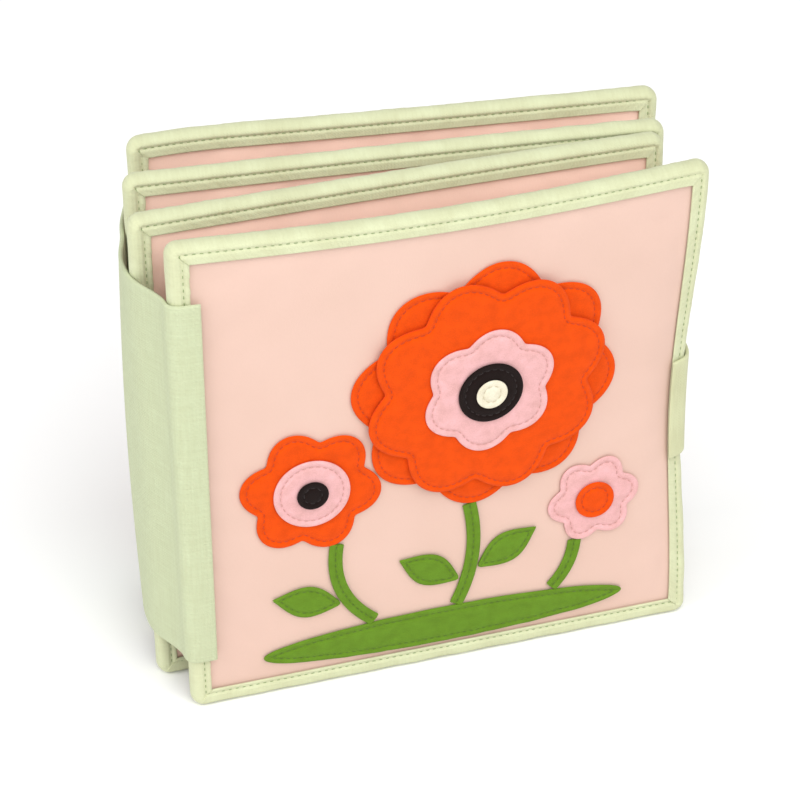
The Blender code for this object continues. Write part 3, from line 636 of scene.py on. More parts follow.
def binding_middle(count):
    """Line through the middle of the folded tape, from the front edge round to the rear.

    The strip lies flat, and turns round the rim in half an ellipse.
    """
    half = 0.5 * BINDING_THICKNESS
    flat = np.linspace(BINDING_WIDTH - half, BINDING_FOLD_RADIUS, count)
    level = np.full(count, half)
    turns = np.linspace(0.0, math.pi, 2 * count // 3)[1:-1]
    wide = BINDING_FOLD_RADIUS - half
    tall = 0.5 * LEAF_THICKNESS - half
    rim = np.stack([BINDING_FOLD_RADIUS - wide * np.sin(turns),
                    0.5 * LEAF_THICKNESS - tall * np.cos(turns)], -1)
    front = np.stack([flat, level], -1)
    rear = np.stack([flat, LEAF_THICKNESS - level], -1)[::-1]
    return np.concatenate([front, rim, rear])


def rim_line(inward):
    """Closed line of points round a leaf at an inward distance for each station."""
    along, height = rim_places(np.asarray(inward)[:, None])
    return np.concatenate([along, height], -1)


def binding_lift(leaf, section, groove, turns):
    """Height of the tape's outer side over its plain section.

    The stitches draw a groove in. Ripples of 3 to 9 mm pucker the cloth on both sides of
    it, and waves of 15 to 50 mm swell the rim. At each corner one side of the tape lies over
    the other along the diagonal, a step that fades along the side.
    """
    settings = bpy.context.scene.cloth_book
    seed = 10 * leaf.index
    draw = np.random.default_rng(seed)
    fine = draw.integers(*FINE_WAVES)
    broad = draw.integers(*BROAD_WAVES)
    inward = section[:, 0][None, :]
    groove = groove[:, None]
    turns = turns[:, None]
    front = section[:, 1] < 0.5 * LEAF_THICKNESS

    def beside_seam(place):
        return hump(inward, groove + place[0], place[1])

    lift = 0.0
    for side, mark in ((front, 1), (~front, 4)):
        slant = RIPPLE_SLANT * mark * inward
        inner = ripples(turns + slant, fine, seed + mark) * beside_seam(INNER_PUCKERS)
        outer = ripples(turns - slant, fine, seed + mark + 1) * beside_seam(OUTER_PUCKERS)
        swell = ripples(turns, broad, seed + mark + 2) * hump(inward, *RIM_SWELL)
        puckers = settings.pucker_height * (inner + outer + RIM_SWELL_SHARE * swell)
        puff = SEAM_PUFF_SHARE * settings.groove_depth * beside_seam(SEAM_PUFF)
        drawn = settings.groove_depth * hump(inward, groove, GROOVE_WIDTH)
        lift = lift + side * (puckers + puff - drawn)
    middle = CORNER_STATIONS // 2
    past = np.concatenate([np.arange(CORNER_STATIONS) - middle + 0.5,
                           CORNER_STATIONS - middle + np.arange(SIDE_STATIONS) * SIDE_SPACINGS])
    fading = np.exp(-np.maximum(past, 0.0) * CORNER_SPACING / MITRE_REACH)
    over = np.tile(np.where(past >= 0.0, fading, 0.0), 4)[:, None]
    return lift + MITRE_STEP * (over * smooth(section[:, 0] / BINDING_FOLD_RADIUS)[None, :])


def make_binding(leaf):
    """Folded cotton tape round a leaf's rim: the section carried along the rim's line."""
    section = tape_section(binding_middle(SECTION_POINTS), 0.5 * BINDING_THICKNESS)
    run = np.roll(section, -1, 0) - np.roll(section, 1, 0)
    run /= np.linalg.norm(run, axis=1, keepdims=True)
    out = np.stack([run[:, 1], -run[:, 0]], -1)
    groove = groove_places()
    lengths = path_lengths(rim_line(groove), True)
    outer = np.arange(len(section)) >= len(section) // 2
    lift = outer * binding_lift(leaf, section, groove, lengths[:-1] / lengths[-1])
    inward = np.broadcast_to(section[:, 0], lift.shape)
    along, height = rim_places(inward + lift * out[:, 0])
    points = leaf.place(along, section[:, 1] + lift * out[:, 1], height)
    around = path_lengths(section, True)
    return ring_piece(f"{leaf.name}_bound_edge", points, place_ring(lengths, around), True)


# Sewing threads

# Rings of a stitch from end to end, as shares of its half length, and their thickness.
RING_SHARES = np.array((-1.0, -0.6, 0.0, 0.6, 1.0))
RING_RADIUS_SHARES = np.array((0.5, 0.95, 1.0, 0.95, 0.5))
RING_POINTS = 6
STITCH_RISE_SHARE = 0.25
STITCH_DIP_SHARE = 0.75

# Distance between a stitch's rings, and between a ring's points, on the thread's pattern.
RING_STEP = 0.0005
RING_POINT_STEP = 0.0003


def stitch_row(leaf, line, closed, level, side, sizes):
    """Stitches along a line on a leaf: pitch, length and thickness of thread in metres.

    Each stitch is a short thread of a few rings. It follows the line, its height is an
    arch of a squared share, and its ends thin out and sink into the cloth.
    """
    pitch, length, thickness = sizes
    lengths = path_lengths(line, closed)
    count = max(int(lengths[-1] / pitch), 1)
    centres = (np.arange(count) + 0.5) * lengths[-1] / count
    at = centres[:, None] + 0.5 * length * RING_SHARES
    wrapped = np.concatenate([line, line[:1]]) if closed else line
    at = at % lengths[-1] if closed else np.clip(at, 0.0, lengths[-1])
    flat = np.stack([np.interp(at, lengths, wrapped[:, k]) for k in (0, 1)], -1)
    run = flat[:, -1] - flat[:, 0]
    run /= np.linalg.norm(run, axis=-1, keepdims=True)
    across = np.stack([-run[:, 1], run[:, 0]], -1)
    radius = 0.5 * thickness * RING_RADIUS_SHARES[:, None]
    turns = np.arange(RING_POINTS) * 2.0 * math.pi / RING_POINTS
    arch = STITCH_RISE_SHARE - STITCH_DIP_SHARE * RING_SHARES[:, None] ** 2
    swing = radius * np.cos(turns)
    rise = radius * np.sin(turns) + thickness * arch
    place = flat[:, :, None] + across[:, None, None] * swing[None, :, :, None]
    base = level(flat[..., 0], flat[..., 1])[:, :, None]
    points = leaf.place(place[..., 0], base + side * rise, place[..., 1])
    return points.reshape(-1, 3)


def thread_piece(name, rows):
    """Join rows of stitches into one piece: cells between each stitch's rings, and its ends."""
    points = np.concatenate(rows)
    rings = len(RING_SHARES)
    one = rings * RING_POINTS
    count = len(points) // one
    ring = np.arange(RING_POINTS)
    cells = grid_quads(rings, RING_POINTS, False, True)[0][:, [0, 3, 2, 1]]
    ends = np.stack([ring[::-1], ring + one - RING_POINTS])
    starts = one * np.arange(count)[:, None, None]
    groups = [(cells + starts).reshape(-1, 4), (ends + starts).reshape(-1, RING_POINTS)]
    wind = place_ring(np.arange(rings) * RING_STEP, ring * RING_POINT_STEP).reshape(-1, 2)
    spread = np.tile(wind, (count, 1))
    return make_piece(name, points, groups, [spread[faces] for faces in groups])


def make_binding_threads(leaf):
    """The stitches along both sides of a leaf's binding."""
    settings = bpy.context.scene.cloth_book
    line = rim_line(groove_places())
    sizes = (settings.stitch_pitch, settings.stitch_length, settings.thread_thickness)
    sunk = settings.groove_depth
    rows = [stitch_row(leaf, line, True, lambda a, h: np.full_like(a, depth), side, sizes)
            for side, depth in ((-1.0, sunk), (1.0, LEAF_THICKNESS - sunk))]
    return thread_piece(f"{leaf.name}_threads", rows)


# Faces and fillings

# Lines of a face's grid: those near each side of its rim, their spacing, and those between.
RIM_LINES = 9
RIM_LINE_STEP = 0.0012
INNER_LINES = 74

# Lines of the film's and the wadding's grid.
FILLING_LINES = 65


def face_lines():
    """Grid lines across a face, close together near the binding."""
    near = LAYER_INSET + np.arange(RIM_LINES) * RIM_LINE_STEP
    far = LEAF_WIDTH - near[::-1]
    middle = np.linspace(near[-1], far[0], INNER_LINES)[1:-1]
    return np.concatenate([near, middle, far])


def leaf_layer(leaf, name, lines, outer_depth, inner_depth):
    """Closed layer of a leaf between two depths, each worked out from along and height."""
    along, height = np.meshgrid(lines, lines, indexing="ij")
    outer = leaf.place(along, outer_depth(along, height), height)
    inner = leaf.place(along, inner_depth(along, height), height)
    return sheet_piece(name, outer, inner, np.stack([along, height], -1))


def make_faces(leaf):
    """The two microfibre faces of a leaf."""
    lines = face_lines()
    front = leaf_layer(leaf, f"{leaf.name}_front_cloth", lines, leaf.front,
                       lambda a, h: leaf.front(a, h) + FACE_THICKNESS)
    rear = leaf_layer(leaf, f"{leaf.name}_rear_cloth", lines, leaf.rear,
                      lambda a, h: leaf.rear(a, h) - FACE_THICKNESS)
    return front, rear


def make_fillings(leaf):
    """The crinkle film and the wadding inside a leaf."""
    lines = np.linspace(LAYER_INSET, LEAF_WIDTH - LAYER_INSET, FILLING_LINES)
    ahead = FACE_THICKNESS + CLOTH_GAP
    film = leaf_layer(leaf, f"{leaf.name}_film_sheet", lines,
                      lambda a, h: leaf.front(a, h) + ahead,
                      lambda a, h: leaf.front(a, h) + ahead + FILM_THICKNESS)
    behind = ahead + FILM_THICKNESS + CLOTH_GAP
    pad = leaf_layer(leaf, f"{leaf.name}_wadding_pad", lines,
                     lambda a, h: leaf.front(a, h) + behind,
                     lambda a, h: leaf.rear(a, h) - ahead)
    return film, pad


# Wrap and strap: standing tapes

# Spacing of a tape's rings, and what is left of its thickness, squared, at its cut ends.
TAPE_PITCH = 0.0006
CUT_END_LEAST = 0.04

# How softly the folds bend: at the flaps, between the leaves, and where one turns to the other.
FLAP_SOFTNESS = 0.0016
WRAP_SOFTNESS = 0.0048
FLAP_LENGTH = 0.0140
FLAP_BLEND = 0.008

# Share of the wrap's bulge that is left at its cut edges.
EDGE_BULGE_SHARE = 0.40

# Points on each part of the lines, and rows up the tapes.
FLAP_POINTS = 12
SPAN_POINTS = 24
WRAP_ROWS = 48
STRAP_ROWS = 24


def hinge_point(leaf, rear):
    """Plan point of a fold in the wrap, beside the front or rear of a leaf's spine end."""
    depth = LEAF_THICKNESS if rear else 0.0
    corner = leaf.place(0.0, depth, STRAP_MIDDLE)[:2]
    return corner - leaf.run * (CLOTH_GAP + WRAP_THICKNESS + HINGE_MARGIN)


def span_points(start, end, bulge, up):
    """Outer side of the wrap between two folds: straight, with a bulge outwards.

    The bulge is a parabola across, and falls off by a sine towards the cut edges.
    """
    share = np.linspace(0.0, 1.0, SPAN_POINTS)[:, None, None]
    run = end - start
    out = np.array((-run[1], run[0])) / np.linalg.norm(run)
    full = bulge * (EDGE_BULGE_SHARE + (1.0 - EDGE_BULGE_SHARE) * np.sin(math.pi * up))
    swell = 4.0 * full[None, :, None] * share * (1.0 - share) - HINGE_MARGIN
    return start + run * share + out * swell


def flap_points(leaf, rear, heights):
    """Outer side of the wrap's end: beside the cover's spine end, then round its corner."""
    outer = CLOTH_GAP + WRAP_THICKNESS
    fold = BINDING_FOLD_RADIUS
    up = (heights - WRAP_BOTTOM) / WRAP_HEIGHT
    width = mix(FLAP_WIDTH_BOTTOM, FLAP_WIDTH_TOP, up)[None, :]
    flat = np.linspace(0.0, 1.0, FLAP_POINTS)[:, None]
    angles = np.linspace(0.0, 0.5 * math.pi, FLAP_POINTS)[1:, None]
    ones = np.ones_like(width)
    side = (-outer * ones + 0.0 * flat, mix(LEAF_THICKNESS, fold, flat) * ones)
    bend = ((fold - (fold + outer) * np.cos(angles)) * ones,
            (fold - (fold + outer) * np.sin(angles)) * ones)
    lap = (mix(fold, width, flat[1:]), -outer * ones + 0.0 * flat[1:])
    along = np.concatenate([side[0], bend[0], lap[0]])
    depth = np.concatenate([side[1], bend[1], lap[1]])
    if rear:
        depth = LEAF_THICKNESS - depth
    return leaf.place(along, depth, heights[None, :])[..., :2]


def resample(points):
    """Read lines of points at even steps, one column a line, with the same shares for all."""
    lengths = np.stack([path_lengths(points[:, k]) for k in range(points.shape[1])], 1)
    mean = lengths.mean(1)
    count = int(round(mean[-1] / TAPE_PITCH)) + 1
    even = np.linspace(0.0, mean[-1], count)
    at = np.clip(np.searchsorted(mean, even, side="right") - 1, 0, len(mean) - 2)
    share = ((even - mean[at]) / (mean[at + 1] - mean[at]))[:, None, None]
    return mix(points[at], points[at + 1], share), even


def soften(points, softness):
    """Round the folds of even lines of points: each point is a bell-weighted mean.

    The bell is as wide as the softness of its own row, and the line's ends stay put.
    """
    count = len(points)
    softness = np.broadcast_to(softness, count)
    offsets = (np.arange(count)[:, None] - np.arange(count)[None, :]) * TAPE_PITCH
    weights = np.exp(-0.5 * (offsets / softness[:, None]) ** 2)
    weights /= weights.sum(1, keepdims=True)
    soft = np.einsum("ij,jkl->ikl", weights, points)
    slack = points[[0, -1]] - soft[[0, -1]]
    reach = np.arange(count)[:, None, None] * TAPE_PITCH
    near = np.exp(-reach / softness[0])
    far = np.exp(-(reach[-1] - reach) / softness[-1])
    return soft + slack[:1] * near + slack[1:] * far


def tape_along(points, heights, offsets, thickness):
    """Points of a standing tape: its outer side's plan line, moved in by each offset."""
    run = np.gradient(points, axis=0)
    run /= np.linalg.norm(run, axis=-1, keepdims=True)
    out = np.stack([-run[..., 1], run[..., 0]], -1)
    plan = points + out * (offsets - thickness)[None, :, None]
    tall = np.broadcast_to(heights[None, :, None], plan.shape[:2] + (1,))
    return np.concatenate([plan, tall], -1)


def standing_section(low, high, thickness, count):
    """Section of a standing tape: heights, and offsets from its inner side outwards."""
    half = 0.5 * thickness
    line = np.stack([np.linspace(low + half, high - half, count), np.zeros(count)], -1)
    section = tape_section(line, half)
    return section[:, 0], half - section[:, 1]


def round_end(rings, thickness, at_start):
    """Round a tape's cut end: thin its last sections towards the middle of its thickness."""
    half = rings.shape[1] // 2
    opposite = np.concatenate([rings[:, half:][:, ::-1], rings[:, :half][:, ::-1]], 1)
    middle = 0.5 * (rings + opposite)
    lengths = path_lengths(rings[:, half // 2])
    reach = lengths if at_start else lengths[-1] - lengths
    share = np.clip(1.0 - reach / (0.5 * thickness), 0.0, 1.0)
    thin = np.sqrt(np.maximum(1.0 - share ** 2, CUT_END_LEAST))[:, None, None]
    return middle + (rings - middle) * thin


class StandingTape:
    """Rings of a tape that stands on edge along a plan line, and where its folds are.

    The line is read at even steps, and its folds are rounded by a softness worked out from
    the distance along it.
    """

    def __init__(self, line, folds, section, thickness, softness):
        heights, offsets = section
        even, self.lengths = resample(line)
        even = soften(even, softness(self.lengths))
        rings = tape_along(even, heights, offsets, thickness)
        self.rings = round_end(round_end(rings, thickness, True), thickness, False)
        around = path_lengths(np.stack([heights, offsets], -1), True)
        self.place = place_ring(self.lengths, around)
        self.middle = even[:, len(heights) // 4]
        self.marks = [int(np.argmin(np.linalg.norm(self.middle - fold, axis=1)))
                      for fold in folds]

    def piece(self, name, start, end):
        """Part of the tape between two of its rings."""
        rows = slice(start, end + 1)
        return ring_piece(name, self.rings[rows], self.place[rows], False)


def wrap_line(heights):
    """Plan line of the whole wrap's outer side at each height, and where its folds are."""
    front, second, third, last = LEAVES
    folds = [hinge_point(front, True), hinge_point(second, False), hinge_point(second, True),
             hinge_point(third, False), hinge_point(third, True), hinge_point(last, False)]
    bulges = (GUSSET_BULGE, 0.0, CENTRE_BULGE, 0.0, GUSSET_BULGE)
    parts = [flap_points(front, False, heights)[::-1]]
    up = (heights - WRAP_BOTTOM) / WRAP_HEIGHT
    for start, end, bulge in zip(folds, folds[1:], bulges):
        parts.append(span_points(start, end, bulge, up)[1:-1])
    parts.append(flap_points(last, True, heights))
    return np.concatenate(parts), folds


def wrap_softness(lengths):
    """Softness along the wrap: crisp over the flaps' folds, soft between the leaves."""
    reach = np.minimum(lengths, lengths[-1] - lengths)
    return mix(FLAP_SOFTNESS, WRAP_SOFTNESS, smooth((reach - FLAP_LENGTH) / FLAP_BLEND))


WRAP_NODES = ("spine_front_flap", "spine_front_gusset", "spine_page_2_strip",
              "spine_centre_panel", "spine_page_3_strip", "spine_rear_gusset",
              "spine_rear_flap")


def make_wrap():
    """The linen wrap, a piece for each fold, each from mid stretch to mid stretch."""
    section = standing_section(WRAP_BOTTOM, WRAP_BOTTOM + WRAP_HEIGHT, WRAP_THICKNESS,
                               WRAP_ROWS)
    tape = StandingTape(*wrap_line(section[0]), section, WRAP_THICKNESS, wrap_softness)
    cuts = [(a + b) // 2 for a, b in zip(tape.marks, tape.marks[1:])]
    spans = zip([0] + cuts, cuts + [len(tape.rings) - 1])
    for k, (mark, (start, end)) in enumerate(zip(tape.marks, spans)):
        piece = tape.piece(f"wrap_fold_{k + 1}", start, end)
        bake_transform(piece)
        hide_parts(WRAP_NODES[k], WRAP_NODES[k + 1])
        piece.data.materials.append(finished("spine_linen"))


def strap_line(heights):
    """Plan line of the strap's outer side, from its tab to the front, and its two folds.

    From the front cover's edge it turns back round a quarter ellipse, goes straight to the
    rear cover's fore edge, and lies flat along its rear.
    """
    cover, last = LEAVES[0], LEAVES[-1]
    rim = cover.place(LEAF_WIDTH, 0.5 * LEAF_THICKNESS, STRAP_MIDDLE)
    start = np.array((rim[0] + STRAP_STANDOFF + STRAP_THICKNESS, rim[1] + LEAF_THICKNESS))
    fore = last.place(LEAF_WIDTH, np.array((0.0, LEAF_THICKNESS)), STRAP_MIDDLE)[:, 0].max()
    stack = 2.0 * PATCH_THICKNESS + 3.0 * CLOTH_GAP
    depth = LEAF_THICKNESS - FACE_FRONT + CROWN_HEIGHT + stack
    corner = last.place(LEAF_WIDTH, depth, STRAP_MIDDLE)
    tab_start = LEAF_WIDTH + (fore + STRAP_EASE + STRAP_THICKNESS - corner[0]) / last.run[0]
    end = last.place(tab_start, depth, STRAP_MIDDLE)[:2]
    lift = CLOTH_GAP + STRAP_THICKNESS
    tall = heights[None, :]
    flat = np.linspace(LEAF_WIDTH - BINDING_WIDTH, LEAF_WIDTH - BINDING_FOLD_RADIUS,
                       FLAP_POINTS)[:, None]
    lap = cover.place(flat, -lift, tall)[..., :2]
    edge = lap[-1]
    share = np.linspace(0.0, 1.0, SPAN_POINTS)[1:, None]
    angles = 0.5 * math.pi * share[..., None]
    turn = edge + np.concatenate([(start[0] - edge[None, :, :1]) * np.sin(angles),
                                  (start[1] - edge[None, :, 1:]) * (1.0 - np.cos(angles))], -1)
    leg = mix(start, end, share[..., None]) * np.ones((1, len(heights), 1))
    tab = last.place(tab_start - STRAP_TAB_LENGTH * share, depth + STRAP_THICKNESS,
                     tall)[..., :2]
    return np.concatenate([lap, turn, leg, tab])[::-1], (start, end)


def make_strap():
    """The closure strap, a piece for each of its two folds."""
    low = STRAP_MIDDLE - 0.5 * STRAP_HEIGHT
    section = standing_section(low, low + STRAP_HEIGHT, STRAP_THICKNESS, STRAP_ROWS)
    tape = StandingTape(*strap_line(section[0]), section, STRAP_THICKNESS,
                        lambda lengths: FLAP_SOFTNESS)
    cut = sum(tape.marks) // 2
    halves = (("strap_front_half", (cut, len(tape.rings) - 1),
               ("front_cover", "closure_strap"), ("strap_anchor", "strap_leg")),
              ("strap_rear_half", (0, cut), ("closure_strap", "strap_tab"), ("strap_tab",)))
    for mark, (name, span, bodies, nodes) in zip(tape.marks, halves):
        piece = tape.piece(name, *span)
        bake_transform(piece)
        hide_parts(*nodes)
        piece.data.materials.append(finished("strap_cotton"))


# Points along and up a patch.
PATCH_GRID = (45, 67)


def make_patches():
    """Loop patch on the rear cover and hook patch on the tab."""
    last = LEAVES[-1]
    along = np.linspace(LEAF_WIDTH - PATCH_INSET - PATCH_LENGTH, LEAF_WIDTH - PATCH_INSET,
                        PATCH_GRID[0])
    height = np.linspace(STRAP_MIDDLE - 0.5 * PATCH_HEIGHT, STRAP_MIDDLE + 0.5 * PATCH_HEIGHT,
                         PATCH_GRID[1])
    a, h = np.meshgrid(along, height, indexing="ij")
    place = np.stack([a, h], -1)
    near = last.rear(a, h) + CLOTH_GAP
    loop = sheet_piece("loop_tape", last.place(a, near, h),
                       last.place(a, near + PATCH_THICKNESS, h), place)
    far = LEAF_THICKNESS - FACE_FRONT + CROWN_HEIGHT + 2.0 * PATCH_THICKNESS + 2.0 * CLOTH_GAP
    hook = sheet_piece("hook_tape", last.place(a, far, h),
                       last.place(a, far - PATCH_THICKNESS, h), place)
    return loop, hook


# Felt

# Stitches on the felt: their distance from its edge, their thread, the share of the pitch
# that each one covers, and the groove that they draw.
FELT_STITCH_INSET = 0.0026
LEAFLET_STITCH_INSET = 0.0021
MOUND_STITCH_INSET = 0.0024
FELT_THREAD_THICKNESS = 0.00045
FELT_STITCH_SHARE = 0.8
FELT_SEAM_DEPTH = 0.00045
FELT_SEAM_WIDTH = 0.0006

# Round of a cut edge as a share of the felt's thickness, how far in its padding is full, and
# how soft the valleys between petals are.
FELT_EDGE_SHARE = 0.7
FELT_PUFF_REACH = 0.008
VALLEY_SOFTNESS = 0.10

# Rings of a felt piece: insets of those near its edge, and spacing of those further in. The
# first are left out where they come too close to the middle of a small piece.
EDGE_INSETS = (0.0, 0.00004, 0.00015, 0.00035, 0.0006, 0.001, 0.0016, 0.0020, 0.0023, 0.0026,
               0.0029, 0.0032, 0.0038)
EDGE_REACH_SHARE = 0.7
MIDDLE_REACH_SHARE = 0.9
INNER_SPACING = 0.0022
INNER_LEAST = 3
OUTLINE_SPACING = 0.0009
OUTLINE_LEAST = 48

# Long felt pieces: points across them, stations along them, how their ends close, and the
# room that two rows of stitches need.
STRIP_POINTS = 25
STEM_STATIONS = 90
LEAFLET_STATIONS = 70
MOUND_STATIONS = 160
STEM_END_ROUND = 0.0006
LEAFLET_END_SHARE = 0.025
DOUBLE_ROW_ROOM = 0.0005


def share_point(shares):
    """Point of the front cover at shares of its width and height."""
    return np.array((shares[0] * LEAF_WIDTH, shares[1] * LEAF_HEIGHT))


def mound_top(along):
    """Height of the green mound's upper edge."""
    middle, level = share_point(MOUND_CENTRE_SHARES)
    share = (along - middle) / MOUND_HALF_LENGTH
    return level + MOUND_HALF_HEIGHT * math.sqrt(max(1.0 - share * share, 0.0))


def petal_outline(centre, radius, petals, depth_share, heading, count):
    """Edge of a petalled piece: a circle drawn in between its lobes by a cosine."""
    angles = np.linspace(0.0, 2.0 * math.pi, count, endpoint=False)
    wave = np.cos(0.5 * petals * angles)
    lobe = np.sqrt((wave ** 2 + VALLEY_SOFTNESS ** 2) / (1.0 + VALLEY_SOFTNESS ** 2))
    size = radius * (1.0 - (depth_share * (1.0 - lobe) if petals else 0.0))
    turned = angles + heading
    return centre + np.stack([size * np.cos(turned), size * np.sin(turned)], -1)


def inset_outline(edge, inset):
    """Move a closed outline in by a distance, square to its run."""
    run = np.roll(edge, -1, 0) - np.roll(edge, 1, 0)
    run /= np.linalg.norm(run, axis=1, keepdims=True)
    return edge + np.stack([-run[:, 1], run[:, 0]], -1) * inset


def felt_heights(inset, thickness, puff, stitched):
    """Top side of a felt piece: round at its edge, drawn in at the stitches, full inside."""
    share = np.clip(1.0 - inset / (FELT_EDGE_SHARE * thickness), 0.0, 1.0)
    top = thickness * (0.5 + 0.5 * np.sqrt(1.0 - share ** 2))
    if stitched:
        top = top + puff * smooth((inset - stitched) / FELT_PUFF_REACH)
        top = top - FELT_SEAM_DEPTH * hump(inset, stitched, FELT_SEAM_WIDTH)
    return top


def felt_piece(name, centre, edge, lift, thickness, puff=0.0):
    """Felt cut to an outline: rings from the middle over the edge and back underneath.

    The rings near the edge follow it at set distances, and the others shrink to the middle.
    """
    cover = LEAVES[0]
    narrowest = MIDDLE_REACH_SHARE * np.linalg.norm(edge - centre, axis=1).min()
    near = np.array([inset for inset in EDGE_INSETS if inset < EDGE_REACH_SHARE * narrowest])
    last = near[-1]
    inner = inset_outline(edge, last)
    count = max(int(narrowest / INNER_SPACING), INNER_LEAST)
    shares = np.linspace(1.0, 0.0, count + 1)[1:-1]
    reach = np.linalg.norm(inner - centre, axis=1)
    rings = [inset_outline(edge, inset) for inset in near]
    insets = [np.full(len(edge), inset) for inset in near]
    rings += [centre + (inner - centre) * share for share in shares]
    insets += [last + reach * (1.0 - share) for share in shares]
    rings.append(np.repeat(centre[None], len(edge), 0))
    insets.append(last + reach)
    flat = np.array(rings)
    inset = np.array(insets)
    top = felt_heights(inset, thickness, puff, FELT_STITCH_INSET)
    low = thickness - felt_heights(inset, thickness, 0.0, 0.0)
    floor = cover.front(flat[..., 0], flat[..., 1]) - CLOTH_GAP - lift
    upper = cover.place(flat[..., 0], floor - top, flat[..., 1])
    lower = cover.place(flat[..., 0], floor - low, flat[..., 1])
    points = np.concatenate([upper[::-1][1:], lower[1:-1]])
    plan = np.concatenate([flat[::-1][1:], flat[1:-1]])
    poles = np.stack([upper[-1, 0], lower[-1, 0]])
    return poled_piece(name, points, plan, poles, np.stack([centre, centre]))


class Flower:
    """Where a flower's layers and its stem go."""

    def __init__(self, centre_shares, radius, foot_share):
        self.centre = share_point(centre_shares)
        self.radius = radius
        foot = foot_share * LEAF_WIDTH
        self.run = np.array((foot, mound_top(foot))) - self.centre
        self.length = float(np.linalg.norm(self.run))
        self.stem_angle = math.atan2(self.run[1], self.run[0])
        self.lift = 0.0

    def add(self, name, node, slot, radius, thickness, petals=0, depth_share=0.0, turn=0.0,
            puff=0.0):
        """Add a layer on the one below it, and the stitches near its edge."""
        count = max(int(2.0 * math.pi * radius / OUTLINE_SPACING), OUTLINE_LEAST)
        edge = petal_outline(self.centre, radius, petals, depth_share,
                             self.stem_angle + turn, count)
        piece = felt_piece(name, self.centre, edge, self.lift, thickness, puff)
        finish_felt(piece, node, slot)
        sew_felt(name, inset_outline(edge, FELT_STITCH_INSET), True, self.lift + thickness, slot)
        self.lift += thickness + CLOTH_GAP

    def stem(self, across, up, bow):
        """Flat place on the stem: shares across and up from its foot, bowed sideways."""
        dip = 0.5 * STEM_WIDTH * abs(self.run[0]) / self.length
        low_share = 1.0 - (CLOTH_GAP + dip) / self.length
        top_share = (self.radius + CLOTH_GAP) / self.length
        side = np.array((self.run[1], -self.run[0])) / self.length
        reach = mix(low_share, top_share, up)[..., None]
        shift = (STEM_WIDTH * (across - 0.5) - 4.0 * bow * up * (1.0 - up))[..., None]
        return self.centre + self.run * reach - side * shift


def finish_felt(piece, node, slot):
    """Put a felt piece on the front cover in place of its node."""
    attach(piece, "front_cover")
    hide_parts(node)
    piece.data.materials.append(finished(slot))


def sew_felt(name, line, closed, height, slot):
    """Sew a line of stitches in a felt piece's own colour, at a height over the cover."""
    cover = LEAVES[0]
    settings = bpy.context.scene.cloth_book
    top = CLOTH_GAP + height - FELT_SEAM_DEPTH
    pitch = settings.felt_stitch_pitch
    sizes = (pitch, FELT_STITCH_SHARE * pitch, FELT_THREAD_THICKNESS)
    row = stitch_row(cover, line, closed, lambda a, h: cover.front(a, h) - top, -1.0, sizes)
    piece = thread_piece(f"{name}_threads", [row])
    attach(piece, "front_cover")
    piece.data.materials.append(finished(f"{slot}_thread"))


def felt_strip(name, node, line, half, stitch_inset):
    """Long felt piece: a rounded section carried along a line, as wide as half says.

    Across the section the points are spaced by a sine, the edge is a quarter ellipse, and
    the stitches draw the top in. Each end closes in a point.
    """
    cover = LEAVES[0]
    run = np.gradient(line, axis=0)
    run /= np.linalg.norm(run, axis=1, keepdims=True)
    side = np.stack([-run[:, 1], run[:, 0]], -1)
    across = np.sin(np.linspace(-0.5 * math.pi, 0.5 * math.pi, STRIP_POINTS))
    ring = np.concatenate([across, across[-2:0:-1]])
    upper = np.arange(len(ring)) < len(across)
    flat = line[:, None] + side[:, None] * (half[:, None] * ring)[..., None]
    inset = half[:, None] * (1.0 - np.abs(ring))
    top = felt_heights(inset, FELT_THICKNESS, 0.0, stitch_inset)
    low = FELT_THICKNESS - felt_heights(inset, FELT_THICKNESS, 0.0, 0.0)
    level = np.where(upper, top, low)
    floor = cover.front(flat[..., 0], flat[..., 1]) - CLOTH_GAP
    points = cover.place(flat[..., 0], floor - level, flat[..., 1])
    tips = line[[0, -1]]
    ends = cover.place(tips[:, 0], cover.front(tips[:, 0], tips[:, 1])
                       - CLOTH_GAP - 0.5 * FELT_THICKNESS, tips[:, 1])
    piece = poled_piece(name, points[1:-1], flat[1:-1], ends, tips)
    finish_felt(piece, node, "green_felt")
    wide = half > stitch_inset - 1e-9
    room = np.maximum(half - stitch_inset, 0.0)[wide, None]
    double = room.max() > DOUBLE_ROW_ROOM
    seam = np.concatenate([line[wide] + side[wide] * room,
                           (line[wide] - side[wide] * room)[::-1]]) if double else line[wide]
    sew_felt(name, seam, double, FELT_THICKNESS, "green_felt")


def cosine_shares(count):
    """Shares from 0 to 1, spaced by a cosine so that they lie closer near both ends."""
    return 0.5 - 0.5 * np.cos(np.linspace(0.0, math.pi, count))


def make_stem(flower, name, node, bow):
    """Stem of felt: its line bows sideways as a parabola, and its ends are cut square."""
    share = cosine_shares(STEM_STATIONS)
    line = flower.stem(np.full(len(share), 0.5), share, bow)
    reach = flower.length * np.minimum(share, 1.0 - share)
    slope = 1.0 - np.clip(reach / STEM_END_ROUND, 0.0, 1.0)
    half = 0.5 * STEM_WIDTH * np.sqrt(np.clip(1.0 - slope ** 2, 0.0, 1.0))
    felt_strip(name, node, line, half, 0.5 * STEM_WIDTH)


